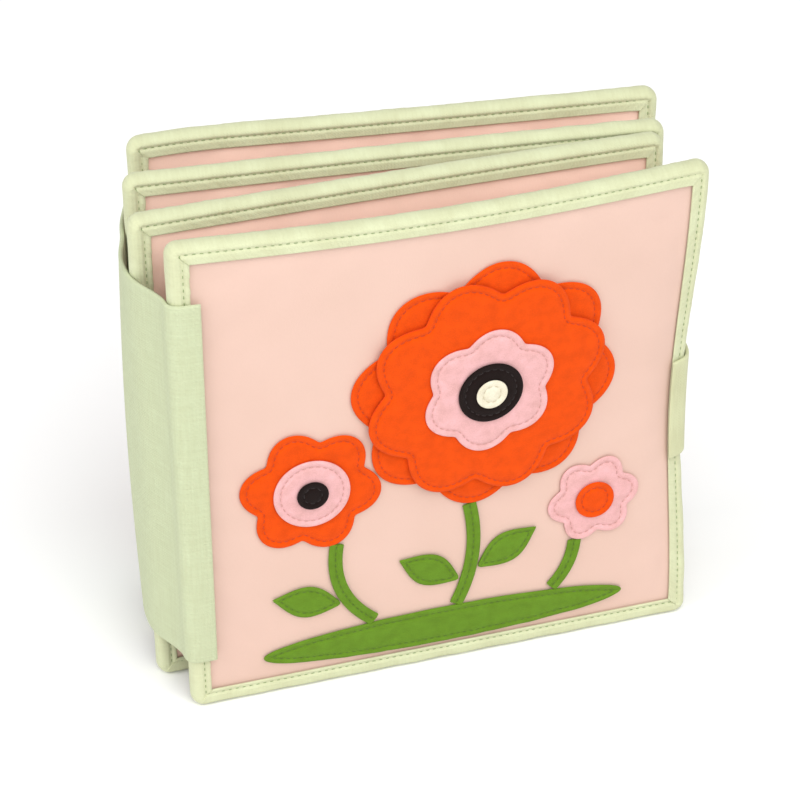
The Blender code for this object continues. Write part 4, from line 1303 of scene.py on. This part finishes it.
def make_leaflet(flower, bow, name, node, across, up, tilt_deg):
    """Pointed felt leaf beside a stem: a sine arch on each side of its length."""
    tilt = math.radians(tilt_deg)
    forward = np.array((math.cos(tilt), math.sin(tilt)))
    base = flower.stem(np.array(across), np.array(up), bow) + forward * LEAFLET_EASE
    share = cosine_shares(LEAFLET_STATIONS)
    arch = np.sin(math.pi * mix(*LEAFLET_END_SHARES, share)) ** LEAFLET_TAPER_POWER
    ends = np.sqrt(np.clip(np.minimum(share, 1.0 - share) / LEAFLET_END_SHARE, 0.0, 1.0))
    line = base + forward * (LEAFLET_LENGTH * share)[:, None]
    felt_strip(name, node, line, LEAFLET_HALF_WIDTH * arch * ends, LEAFLET_STITCH_INSET)


def make_mound():
    """Low green mound: a long ellipse."""
    middle = share_point(MOUND_CENTRE_SHARES)
    turns = np.linspace(0.0, math.pi, MOUND_STATIONS)
    line = middle + np.stack([-MOUND_HALF_LENGTH * np.cos(turns), 0.0 * turns], -1)
    felt_strip("mound", "grass_mound", line, MOUND_HALF_HEIGHT * np.sin(turns),
               MOUND_STITCH_INSET)


# Each flower: its place, its stem, the leaves on it (share across the stem and up it, tilt in
# degrees), and its layers from the cover outwards (size, thickness, petals, their depth, turn
# and padding).
GARDEN = (
    ((BIG_FLOWER_CENTRE_SHARES, BIG_FLOWER_RADIUS, BIG_STEM_FOOT_SHARE),
     ("tall_stem", "big_stem", BIG_STEM_BOW),
     (("tall_leaf_left", "big_leaf_left", 0.0, 0.25, 150.0),
      ("tall_leaf_right", "big_leaf_right", 1.0, 0.35, 30.0)),
     (("tall_petals_under", "big_flower_under", "orange_felt", BIG_FLOWER_RADIUS,
       FELT_THICKNESS, BIG_PETAL_COUNT, BIG_PETAL_DEPTH_SHARE),
      ("tall_petals_upper", "big_flower_upper", "orange_felt",
       BIG_FLOWER_RADIUS - BIG_UPPER_MARGIN, PADDED_FELT_THICKNESS, BIG_PETAL_COUNT,
       BIG_PETAL_DEPTH_SHARE, math.pi / BIG_PETAL_COUNT, BIG_PUFF),
      ("tall_rosette", "big_flower_rosette", "pink_felt", BIG_ROSETTE_RADIUS,
       FELT_THICKNESS, BIG_ROSETTE_PETAL_COUNT, BIG_PETAL_DEPTH_SHARE),
      ("tall_ring", "big_flower_ring", "black_felt", BIG_RING_RADIUS, SMALL_FELT_THICKNESS),
      ("tall_centre", "big_flower_centre", "cream_felt", BIG_CENTRE_RADIUS,
       SMALL_FELT_THICKNESS))),
    ((SIDE_FLOWER_CENTRE_SHARES, SIDE_FLOWER_RADIUS, SIDE_STEM_FOOT_SHARE),
     ("short_stem", "side_stem", SIDE_STEM_BOW),
     (("short_leaf", "side_leaf", 0.0, 0.35, 165.0),),
     (("short_petals", "side_flower_petals", "orange_felt", SIDE_FLOWER_RADIUS,
       FELT_THICKNESS, SMALL_PETAL_COUNT, SMALL_PETAL_DEPTH_SHARE),
      ("short_rosette", "side_flower_rosette", "pink_felt", SIDE_ROSETTE_RADIUS,
       FELT_THICKNESS),
      ("short_centre", "side_flower_centre", "black_felt", SIDE_CENTRE_RADIUS,
       SMALL_FELT_THICKNESS))),
    ((LOW_FLOWER_CENTRE_SHARES, LOW_FLOWER_RADIUS, LOW_STEM_FOOT_SHARE),
     ("low_flower_stalk", "low_stem", LOW_STEM_BOW),
     (),
     (("small_petals", "low_flower_petals", "pink_felt", LOW_FLOWER_RADIUS, FELT_THICKNESS,
       SMALL_PETAL_COUNT, SMALL_PETAL_DEPTH_SHARE),
      ("small_centre", "low_flower_centre", "orange_felt", LOW_CENTRE_RADIUS,
       FELT_THICKNESS))),
)


# Materials

# Sizes of the cloths' patterns as they are drawn.
COTTON_RIB = 0.0022
COTTON_CREASE = 0.012
LINEN_PITCH = 0.0011
LINEN_CREASE = 0.030
SLUB_STRETCH = 14.0
NAP_TUFT = 0.0006
NAP_PATCH = 0.035
FELT_FIBRE = 0.0005
FELT_CLUMP = 0.0045
PLY_PITCH = 0.0005
LOOP_PITCH = 0.0007
CREASE_PITCH = 0.006
WADDING_CLUMP = 0.003
PAPER_TOOTH = 0.0004

# Powers that make a darker shade warmer: red falls least and blue most.
SHADE_POWERS = (0.85, 1.0, 1.3)


def add_node(tree, kind, inputs=None, **settings):
    """Add a shader node, set it, and give each named input a value or a link."""
    made = tree.nodes.new(kind)
    for name, value in settings.items():
        setattr(made, name, value)
    for name, value in (inputs or {}).items():
        socket = made.inputs[name]
        if isinstance(value, bpy.types.NodeSocket):
            tree.links.new(value, socket)
        else:
            socket.default_value = value
    return made


def new_material(name, shading, coordinates="UV"):
    """New material with its shader set, its tree, its shader, and where its pattern lies."""
    material = bpy.data.materials.new(name)
    material.use_nodes = True
    tree = material.node_tree
    shader = tree.nodes["Principled BSDF"]
    for socket, value in shading.items():
        shader.inputs[socket].default_value = value
    where = add_node(tree, "ShaderNodeTexCoord").outputs[coordinates]
    return material, tree, shader, where


def cloth_bump(tree, shader, height, depth):
    """Raise a surface by a pattern, to a depth in metres at the pattern's full height."""
    bump = add_node(tree, "ShaderNodeBump", {"Height": height, "Strength": 1.0,
                                             "Distance": depth})
    tree.links.new(bump.outputs["Normal"], shader.inputs["Normal"])


def noise_at(tree, where, size, detail=4.0, rough=0.5, stretch=(1.0, 1.0)):
    """Noise whose grain has a size in metres, drawn out along the cloth's two ways."""
    mapped = add_node(tree, "ShaderNodeMapping",
                      {"Vector": where, "Scale": (1.0 / stretch[0], 1.0 / stretch[1], 1.0)})
    noise = add_node(tree, "ShaderNodeTexNoise",
                     {"Vector": mapped.outputs["Vector"], "Scale": 1.0 / size,
                      "Detail": detail, "Roughness": rough})
    return noise.outputs["Fac"]


def sum_of(tree, first, second, share):
    """First pattern, and a share of the second with its middle taken off."""
    made = add_node(tree, "ShaderNodeMath", {0: second, 1: -0.5}, operation="ADD")
    added = add_node(tree, "ShaderNodeMath", {0: made.outputs[0], 1: share, 2: first},
                     operation="MULTIPLY_ADD")
    return added.outputs[0]


def tinted(tree, shader, pattern, dark, light, low=0.0, high=1.0):
    """Colour a surface from a dark to a light shade, as a pattern goes from low to high."""
    span = add_node(tree, "ShaderNodeMapRange",
                    {"Value": pattern, "From Min": low, "From Max": high})
    tint = add_node(tree, "ShaderNodeMix",
                    {"Factor": span.outputs["Result"], 6: (*dark, 1.0), 7: (*light, 1.0)},
                    data_type="RGBA")
    tree.links.new(tint.outputs[2], shader.inputs["Base Color"])


def shade(color, share):
    """A colour made darker or lighter by a share, a little warmer where it is darker."""
    return tuple(min(level * share ** power, 1.0)
                 for level, power in zip(color, SHADE_POWERS))


def wave_scale(pitch):
    """Scale of the wave node's bands for a pitch in metres: it draws a wave each pi tenths."""
    return math.pi / (10.0 * pitch)


def plain_weave(tree, where, pitch):
    """Plain weave: warp and weft each a row of sine waves, in turn on top like a checker."""
    bands = [add_node(tree, "ShaderNodeTexWave",
                      {"Vector": where, "Scale": wave_scale(pitch), "Distortion": 0.4,
                       "Detail": 1.0, "Detail Scale": 2.0},
                      bands_direction=way).outputs["Fac"] for way in ("X", "Y")]
    cells = add_node(tree, "ShaderNodeTexChecker", {"Vector": where, "Scale": 1.0 / pitch})
    both = add_node(tree, "ShaderNodeMix", {"Factor": cells.outputs["Fac"], 2: bands[0],
                                            3: bands[1]}, data_type="FLOAT")
    return both.outputs[0]


def woven_cotton(name, color):
    """Plain-woven cotton bias tape: crisp, matt, with faint threads and soft creases.

    Real threads are 0.35 mm apart, and are drawn at the pitch in the settings to show.
    """
    material, tree, shader, where = new_material(
        name, {"Roughness": 0.88, "Specular IOR Level": 0.25, "Sheen Weight": 0.12})
    turned = add_node(tree, "ShaderNodeMapping",
                      {"Vector": where, "Rotation": (0.0, 0.0, math.radians(45.0))})
    weave = plain_weave(tree, turned.outputs["Vector"], bpy.context.scene.cloth_book.weave_pitch)
    ribs = noise_at(tree, where, COTTON_RIB, 3.0, 0.55, (0.45, 4.0))
    creases = noise_at(tree, where, COTTON_CREASE, 3.0)
    # The colour follows broad patches and the ribs: it is darker in the ribs' hollows, where the
    # bump sinks, as painted shade.
    tinted(tree, shader, sum_of(tree, creases, ribs, 0.6), shade(color, 0.92),
           shade(color, 1.03), 0.3, 0.7)
    cloth_bump(tree, shader, sum_of(tree, ribs, weave, 0.35), 0.00020)
    return material


def slub_linen(name, color):
    """Linen with slubs: yarns of uneven thickness both ways, matt and a little coarse.

    Real yarns are 0.8 mm apart and swell over 6 to 20 mm of their length. They are drawn
    1.1 mm apart to show.
    """
    material, tree, shader, where = new_material(
        name, {"Roughness": 0.9, "Specular IOR Level": 0.2, "Sheen Weight": 0.10})
    warp = noise_at(tree, where, LINEN_PITCH, 3.0, 0.6, (1.0, SLUB_STRETCH))
    weft = noise_at(tree, where, LINEN_PITCH, 3.0, 0.6, (SLUB_STRETCH, 1.0))
    weave = plain_weave(tree, where, LINEN_PITCH)
    yarns = add_node(tree, "ShaderNodeMath", {0: warp, 1: weft}, operation="ADD").outputs[0]
    broad = noise_at(tree, where, LINEN_CREASE, 2.0)
    tinted(tree, shader, sum_of(tree, yarns, broad, 0.15), shade(color, 0.90),
           shade(color, 1.03), 0.66, 1.34)
    cloth_bump(tree, shader, sum_of(tree, yarns, weave, 0.6), 0.00016)
    return material


def brushed_microfibre(name, color):
    """Brushed microfibre: a short, smooth nap that catches light softly at its edges.

    Its fibres are too fine to see, so the nap is drawn in tufts of 0.6 mm.
    """
    material, tree, shader, where = new_material(
        name, {"Roughness": 0.75, "Specular IOR Level": 0.2, "Sheen Weight": 0.25,
               "Sheen Roughness": 0.4})
    nap = noise_at(tree, where, NAP_TUFT, 3.0, 0.6, (1.0, 2.2))
    broad = noise_at(tree, where, NAP_PATCH, 2.0)
    # Painted sheen and shade: the broad patches are lighter and darker as the nap's lie would
    # catch the light, and the tufts are darker where the bump sinks.
    tinted(tree, shader, sum_of(tree, broad, nap, 0.4), shade(color, 0.975),
           shade(color, 1.015), 0.3, 0.7)
    cloth_bump(tree, shader, sum_of(tree, nap, broad, 2.0), 0.00005)
    return material


def needle_felt(name, color):
    """Needle-punched felt: matt tangled fibres 0.2 mm thick, drawn at 0.5 mm to show."""
    material, tree, shader, where = new_material(
        name, {"Roughness": 0.95, "Specular IOR Level": 0.10, "Sheen Weight": 0.04,
               "Sheen Roughness": 0.6})
    fibres = noise_at(tree, where, FELT_FIBRE, 5.0, 0.7)
    clumps = noise_at(tree, where, FELT_CLUMP, 3.0)
    tinted(tree, shader, sum_of(tree, fibres, clumps, 0.8), shade(color, 0.84),
           shade(color, 1.06), 0.3, 0.7)
    cloth_bump(tree, shader, sum_of(tree, fibres, clumps, 0.5), 0.00020)
    return material


def spun_thread(name, color):
    """Spun polyester sewing thread: twisted plies 0.5 mm long, with a slight shine."""
    material, tree, shader, where = new_material(
        name, {"Roughness": 0.55, "Specular IOR Level": 0.4})
    plies = add_node(tree, "ShaderNodeTexWave",
                     {"Vector": where, "Scale": wave_scale(PLY_PITCH)},
                     bands_direction="DIAGONAL").outputs["Fac"]
    # Painted shade: the thread is darker in the grooves between its plies, where the bump sinks.
    tinted(tree, shader, plies, shade(color, 0.8), color)
    cloth_bump(tree, shader, plies, 0.00005)
    return material


def hook_and_loop(name, color):
    """Woven hook and loop tape: dense loops 0.7 mm apart that read as a rough pile."""
    material, tree, shader, where = new_material(
        name, {"Roughness": 0.8, "Sheen Weight": 0.2})
    loops = add_node(tree, "ShaderNodeTexVoronoi", {"Vector": where, "Scale": 1.0 / LOOP_PITCH})
    pile = loops.outputs["Distance"]
    # Painted shade: the pile is darker between the loops, where the bump sinks.
    tinted(tree, shader, pile, shade(color, 1.04), shade(color, 0.78), 0.1, 0.8)
    cloth_bump(tree, shader, pile, -0.0003)
    return material


def crinkled_film(name, color):
    """Crinkled polyester film: thin, milky and glossy, with sharp creases 6 mm apart."""
    material, tree, shader, where = new_material(
        name, {"Roughness": 0.18, "IOR": 1.57})
    creases = add_node(tree, "ShaderNodeTexVoronoi",
                       {"Vector": where, "Scale": 1.0 / CREASE_PITCH})
    crease = creases.outputs["Distance"]
    # Painted shade: the film is darker in the dents between its creases, where the bump sinks.
    tinted(tree, shader, crease, shade(color, 0.9), color)
    cloth_bump(tree, shader, crease, 0.0008)
    return material


def bonded_wadding(name, color):
    """Bonded polyester wadding: a white mat of crimped fibres in clumps of 3 mm."""
    material, tree, shader, where = new_material(
        name, {"Roughness": 0.95, "Sheen Weight": 0.3})
    fibres = noise_at(tree, where, WADDING_CLUMP, 8.0, 0.7)
    # Painted shade: the wadding is darker between its clumps, where the bump sinks.
    tinted(tree, shader, fibres, shade(color, 0.88), color, 0.3, 0.7)
    cloth_bump(tree, shader, fibres, 0.0008)
    return material


def matte_paper(name, color):
    """White backdrop paper: matt, with a faint tooth of 0.4 mm."""
    material, tree, shader, where = new_material(
        name, {"Roughness": 0.95, "Specular IOR Level": 0.1}, "Object")
    tooth = noise_at(tree, where, PAPER_TOOTH, 2.0)
    tinted(tree, shader, tooth, shade(color, 0.985), color)
    return material


# Kind of material, its name, its colour among the settings, and the shade of that colour.
FINISHES = {
    "binding_cotton": (woven_cotton, "plain_woven_cotton", "binding_color", 1.0),
    "microfibre": (brushed_microfibre, "brushed_microfibre", "face_color", 1.0),
    # The other faces are the cover's microfibre painted lighter: painted light that stands in
    # for the light that falls between the leaves.
    "microfibre_painted_lighter": (brushed_microfibre, "brushed_microfibre_page", "pages_painted_lighter_color", 1.0),
    "crinkle_film": (crinkled_film, "crinkled_polyester_film", "film_color", 1.0),
    "wadding": (bonded_wadding, "bonded_wadding", "wadding_color", 1.0),
    "spine_linen": (slub_linen, "slub_linen", "linen_color", 1.0),
    "strap_cotton": (woven_cotton, "plain_woven_cotton_strap", "strap_color", 1.0),
    "hook_and_loop": (hook_and_loop, "hook_and_loop_tape", "strap_color", 1.0),
    "orange_felt": (needle_felt, "orange_needle_felt", "orange_color", 1.0),
    "pink_felt": (needle_felt, "pink_needle_felt", "pink_color", 1.0),
    "black_felt": (needle_felt, "black_needle_felt", "black_color", 1.0),
    "cream_felt": (needle_felt, "cream_needle_felt", "cream_color", 1.0),
    "green_felt": (needle_felt, "green_needle_felt", "green_color", 1.0),
    "seam_thread": (spun_thread, "green_polyester_thread", "thread_color", 1.0),
    "orange_felt_thread": (spun_thread, "orange_polyester_thread", "orange_color", 0.72),
    "pink_felt_thread": (spun_thread, "pink_polyester_thread", "pink_color", 0.80),
    "black_felt_thread": (spun_thread, "black_polyester_thread", "black_color", 1.6),
    "cream_felt_thread": (spun_thread, "cream_polyester_thread", "cream_color", 0.80),
    "green_felt_thread": (spun_thread, "moss_polyester_thread", "green_color", 0.70),
}


@functools.cache
def finished(look):
    """Material of a look, made once and handed out again after that."""
    make, name, setting, share = FINISHES[look]
    return make(name, shade(tuple(getattr(bpy.context.scene.cloth_book, setting)), share))


def dress(piece, body, nodes, slot, look=None):
    """Put a finished piece on its body, in place of its nodes, with its material."""
    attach(piece, body)
    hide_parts(*nodes)
    piece.data.materials.append(finished(look or slot))


# Stage

# The lamps are square: name, place, side in metres and power in watts.
FLOOR_HALF_SIDE = 3.0
FLOOR_THICKNESS = 0.01
STUDIO_STRENGTH = 0.48
LAMPS = (("key", (0.2, -1.8, 2.3), 2.6, 82.0), ("fill", (-2.4, -0.5, 1.6), 2.0, 36.0))
LAMP_TARGET = (0.0, 0.0, 0.1)


def facing(place, target, roll):
    """Matrix of a lamp or camera at a place, which faces a target with its top up."""
    back = (place - target) / np.linalg.norm(place - target)
    right = np.cross((0.0, 0.0, 1.0), back)
    right /= np.linalg.norm(right)
    up = np.cross(back, right)
    turned_right = right * math.cos(roll) + up * math.sin(roll)
    turned_up = -right * math.sin(roll) + up * math.cos(roll)
    made = np.eye(4)
    made[:3, 0] = turned_right
    made[:3, 1] = turned_up
    made[:3, 2] = back
    made[:3, 3] = place
    return Matrix(made.tolist())


def make_floor():
    """Sheet of pale paper that the book stands on."""
    line = np.array((-FLOOR_HALF_SIDE, FLOOR_HALF_SIDE))
    x, y = np.meshgrid(line, line, indexing="ij")
    top = np.stack([x, y, 0.0 * x], -1)
    bottom = top - np.array((0.0, 0.0, FLOOR_THICKNESS))
    floor = sheet_piece("floor", top, bottom, np.stack([x, y], -1))
    color = tuple(bpy.context.scene.cloth_book.floor_color)
    floor.data.materials.append(matte_paper("matte_paper", color))


def make_holder(name, data, matrix):
    """Put a lamp or a camera in the scene."""
    holder = bpy.data.objects.new(name, data)
    bpy.context.scene.collection.objects.link(holder)
    holder.matrix_world = matrix
    return holder


def make_lamp(name, place, size, power):
    """Square soft box that faces the book: its side in metres, its power in watts."""
    lamp = bpy.data.lights.new(name, "AREA")
    lamp.shape = "SQUARE"
    lamp.size = size
    lamp.energy = power
    make_holder(name, lamp, facing(np.array(place), np.array(LAMP_TARGET), 0.0))


def make_camera():
    """Camera at the photograph's angle and distance, level with its horizon."""
    lens = bpy.data.cameras.new("camera")
    lens.sensor_width = SENSOR_MM
    lens.lens = SENSOR_MM * CAMERA_LENS_PIXELS / PICTURE_PIXELS
    azimuth = math.radians(CAMERA_AZIMUTH_DEG)
    elevation = math.radians(CAMERA_ELEVATION_DEG)
    back = np.array((math.sin(azimuth) * math.cos(elevation),
                     -math.cos(azimuth) * math.cos(elevation), math.sin(elevation)))
    target = np.array(CAMERA_TARGET) + ORIGIN
    return make_holder("camera", lens, facing(target + back * CAMERA_DISTANCE, target,
                                              math.radians(CAMERA_ROLL_DEG)))


# Settings

def length(name, default, low, high, about):
    """A length in metres that a user may change."""
    return bpy.props.FloatProperty(name=name, description=about, default=default, min=low,
                                   max=high, precision=5, subtype="DISTANCE", unit="LENGTH")


def tone(name, hex_color, about):
    """A colour that a user may change, kept as linear red, green and blue."""
    return bpy.props.FloatVectorProperty(name=name, description=about, size=3, min=0.0, max=1.0,
                                         default=linear(hex_color), subtype="COLOR")


class ClothBookSettings(bpy.types.PropertyGroup):
    """Sizes of the sewing and colours of the cloths"""

    stitch_pitch: length("Stitch pitch", 0.0027, 0.001, 0.01,
                         "Distance from one binding stitch to the next")
    stitch_length: length("Stitch length", 0.0017, 0.0005, 0.008,
                          "Length of thread that shows in one binding stitch")
    thread_thickness: length("Thread thickness", 0.00036, 0.0001, 0.001,
                             "Thickness of the sewing thread on the bindings")
    felt_stitch_pitch: length("Felt stitch pitch", 0.0026, 0.001, 0.01,
                              "Distance from one felt stitch to the next")
    groove_depth: length("Seam depth", 0.00045, 0.0, 0.001,
                         "How far the stitches draw the binding in")
    pucker_height: length("Pucker height", 0.00028, 0.0, 0.001,
                          "Height of the gathers beside the binding stitches")
    weave_pitch: length("Weave pitch", 0.0009, 0.0003, 0.003,
                        "Distance between the cotton's drawn threads")
    binding_color: tone("Binding", "#c9cda8", "Cotton of the bindings")
    face_color: tone("Cover face", "#d3b4a6", "Microfibre of the front cover's face")
    # The same microfibre as the cover's face, painted lighter as painted light between the
    # leaves.
    pages_painted_lighter_color: tone("Page faces", "#edcaba", "Microfibre of the other faces")
    linen_color: tone("Linen", "#bec6a3", "Linen of the spine wrap")
    strap_color: tone("Strap", "#c5c7a0", "Cotton of the closure strap")
    thread_color: tone("Seam thread", "#8a9d6e", "Thread of the binding stitches")
    orange_color: tone("Orange felt", "#dd4a00", "Felt of the big petals")
    pink_color: tone("Pink felt", "#deacac", "Felt of the rosettes")
    black_color: tone("Black felt", "#190e0c", "Felt of the ring and the dark centre")
    cream_color: tone("Cream felt", "#e0dac4", "Felt of the light centre")
    green_color: tone("Green felt", "#608521", "Felt of the stems, leaves and mound")
    film_color: tone("Crinkle film", "#e4ecee", "Film inside the leaves")
    wadding_color: tone("Wadding", "#f4f4f0", "Filling of the leaves")
    floor_color: tone("Floor", "#fafafa", "Paper that the book stands on")


# Operators

class CLOTHBOOK_OT_padding(bpy.types.Operator):
    """Blow up the leaves' padding by cloth simulation"""

    bl_idname = "clothbook.padding"
    bl_label = "Padding"

    def execute(self, context):
        pad_leaves()
        return {"FINISHED"}


class CLOTHBOOK_OT_bindings(bpy.types.Operator):
    """Add the folded cotton binding of each leaf, and its stitches"""

    bl_idname = "clothbook.bindings"
    bl_label = "Bindings"

    def execute(self, context):
        for leaf in LEAVES:
            dress(make_binding(leaf), leaf.name, [f"{leaf.name}_binding"], "binding_cotton")
            threads = make_binding_threads(leaf)
            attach(threads, leaf.name)
            threads.data.materials.append(finished("seam_thread"))
        return {"FINISHED"}


class CLOTHBOOK_OT_leaves(bpy.types.Operator):
    """Add the faces, the crinkle film and the wadding of each leaf"""

    bl_idname = "clothbook.leaves"
    bl_label = "Padded leaves"

    def execute(self, context):
        for leaf in LEAVES:
            front, rear = make_faces(leaf)
            film, pad = make_fillings(leaf)
            # Every face but the cover's front takes the microfibre painted lighter, as painted
            # light between the leaves.
            look = "microfibre_painted_lighter" if leaf.index else "microfibre"
            dress(front, leaf.name, [f"{leaf.name}_front_face"], "microfibre", look)
            dress(rear, leaf.name, [f"{leaf.name}_rear_face"], "microfibre", "microfibre_painted_lighter")
            dress(film, leaf.name, [f"{leaf.name}_crinkle_film"], "crinkle_film")
            dress(pad, leaf.name, [f"{leaf.name}_wadding"], "wadding")
        return {"FINISHED"}


class CLOTHBOOK_OT_wrap(bpy.types.Operator):
    """Add the linen wrap round the leaves' spine ends"""

    bl_idname = "clothbook.wrap"
    bl_label = "Linen wrap"

    def execute(self, context):
        make_wrap()
        return {"FINISHED"}


class CLOTHBOOK_OT_strap(bpy.types.Operator):
    """Add the closure strap with its hook and loop tapes"""

    bl_idname = "clothbook.strap"
    bl_label = "Closure strap"

    def execute(self, context):
        make_strap()
        loop, hook = make_patches()
        dress(loop, "rear_cover", ["loop_patch"], "hook_and_loop")
        dress(hook, "strap_tab", ["hook_patch"], "hook_and_loop")
        return {"FINISHED"}


class CLOTHBOOK_OT_garden(bpy.types.Operator):
    """Add the felt flowers, stems, leaves and mound"""

    bl_idname = "clothbook.garden"
    bl_label = "Felt flowers"

    def execute(self, context):
        make_mound()
        for place, stem, leaflets, layers in GARDEN:
            flower = Flower(*place)
            make_stem(flower, *stem)
            for leaflet in leaflets:
                make_leaflet(flower, stem[-1], *leaflet)
            for layer in layers:
                flower.add(*layer)
        return {"FINISHED"}


class CLOTHBOOK_OT_stage(bpy.types.Operator):
    """Add the pale floor, the soft lights and the camera"""

    bl_idname = "clothbook.stage"
    bl_label = "Stage"

    def execute(self, context):
        make_floor()
        context.scene.view_settings.view_transform = "Standard"
        world = bpy.data.worlds.new("studio")
        world.use_nodes = True
        background = world.node_tree.nodes["Background"]
        background.inputs["Color"].default_value = (1.0, 1.0, 1.0, 1.0)
        background.inputs["Strength"].default_value = STUDIO_STRENGTH
        context.scene.world = world
        for lamp in LAMPS:
            make_lamp(*lamp)
        context.scene.camera = make_camera()
        return {"FINISHED"}


OPERATORS = (CLOTHBOOK_OT_padding, CLOTHBOOK_OT_bindings, CLOTHBOOK_OT_leaves, CLOTHBOOK_OT_wrap,
             CLOTHBOOK_OT_strap, CLOTHBOOK_OT_garden, CLOTHBOOK_OT_stage)


class CLOTHBOOK_PT_pieces(bpy.types.Panel):
    """Lists the settings, and the steps that add the book's pieces"""

    bl_idname = "CLOTHBOOK_PT_pieces"
    bl_label = "Cloth book"
    bl_space_type = "VIEW_3D"
    bl_region_type = "UI"
    bl_category = "Cloth book"

    def draw(self, context):
        settings = context.scene.cloth_book
        for name in settings.bl_rna.properties.keys():
            if name not in ("rna_type", "name"):
                self.layout.prop(settings, name)
        for operator in OPERATORS:
            self.layout.operator(operator.bl_idname)


CLASSES = (ClothBookSettings, *OPERATORS, CLOTHBOOK_PT_pieces)


def register():
    """Register the classes."""
    for item in CLASSES:
        bpy.utils.register_class(item)
    bpy.types.Scene.cloth_book = bpy.props.PointerProperty(type=ClothBookSettings)


def unregister():
    """Take the classes away again."""
    del bpy.types.Scene.cloth_book
    for item in reversed(CLASSES):
        bpy.utils.unregister_class(item)


def main():
    """Add every piece and the stage."""
    register()
    for operator in OPERATORS:
        group, name = operator.bl_idname.split(".")
        getattr(getattr(bpy.ops, group), name)()


if __name__ == "__main__":
    main()
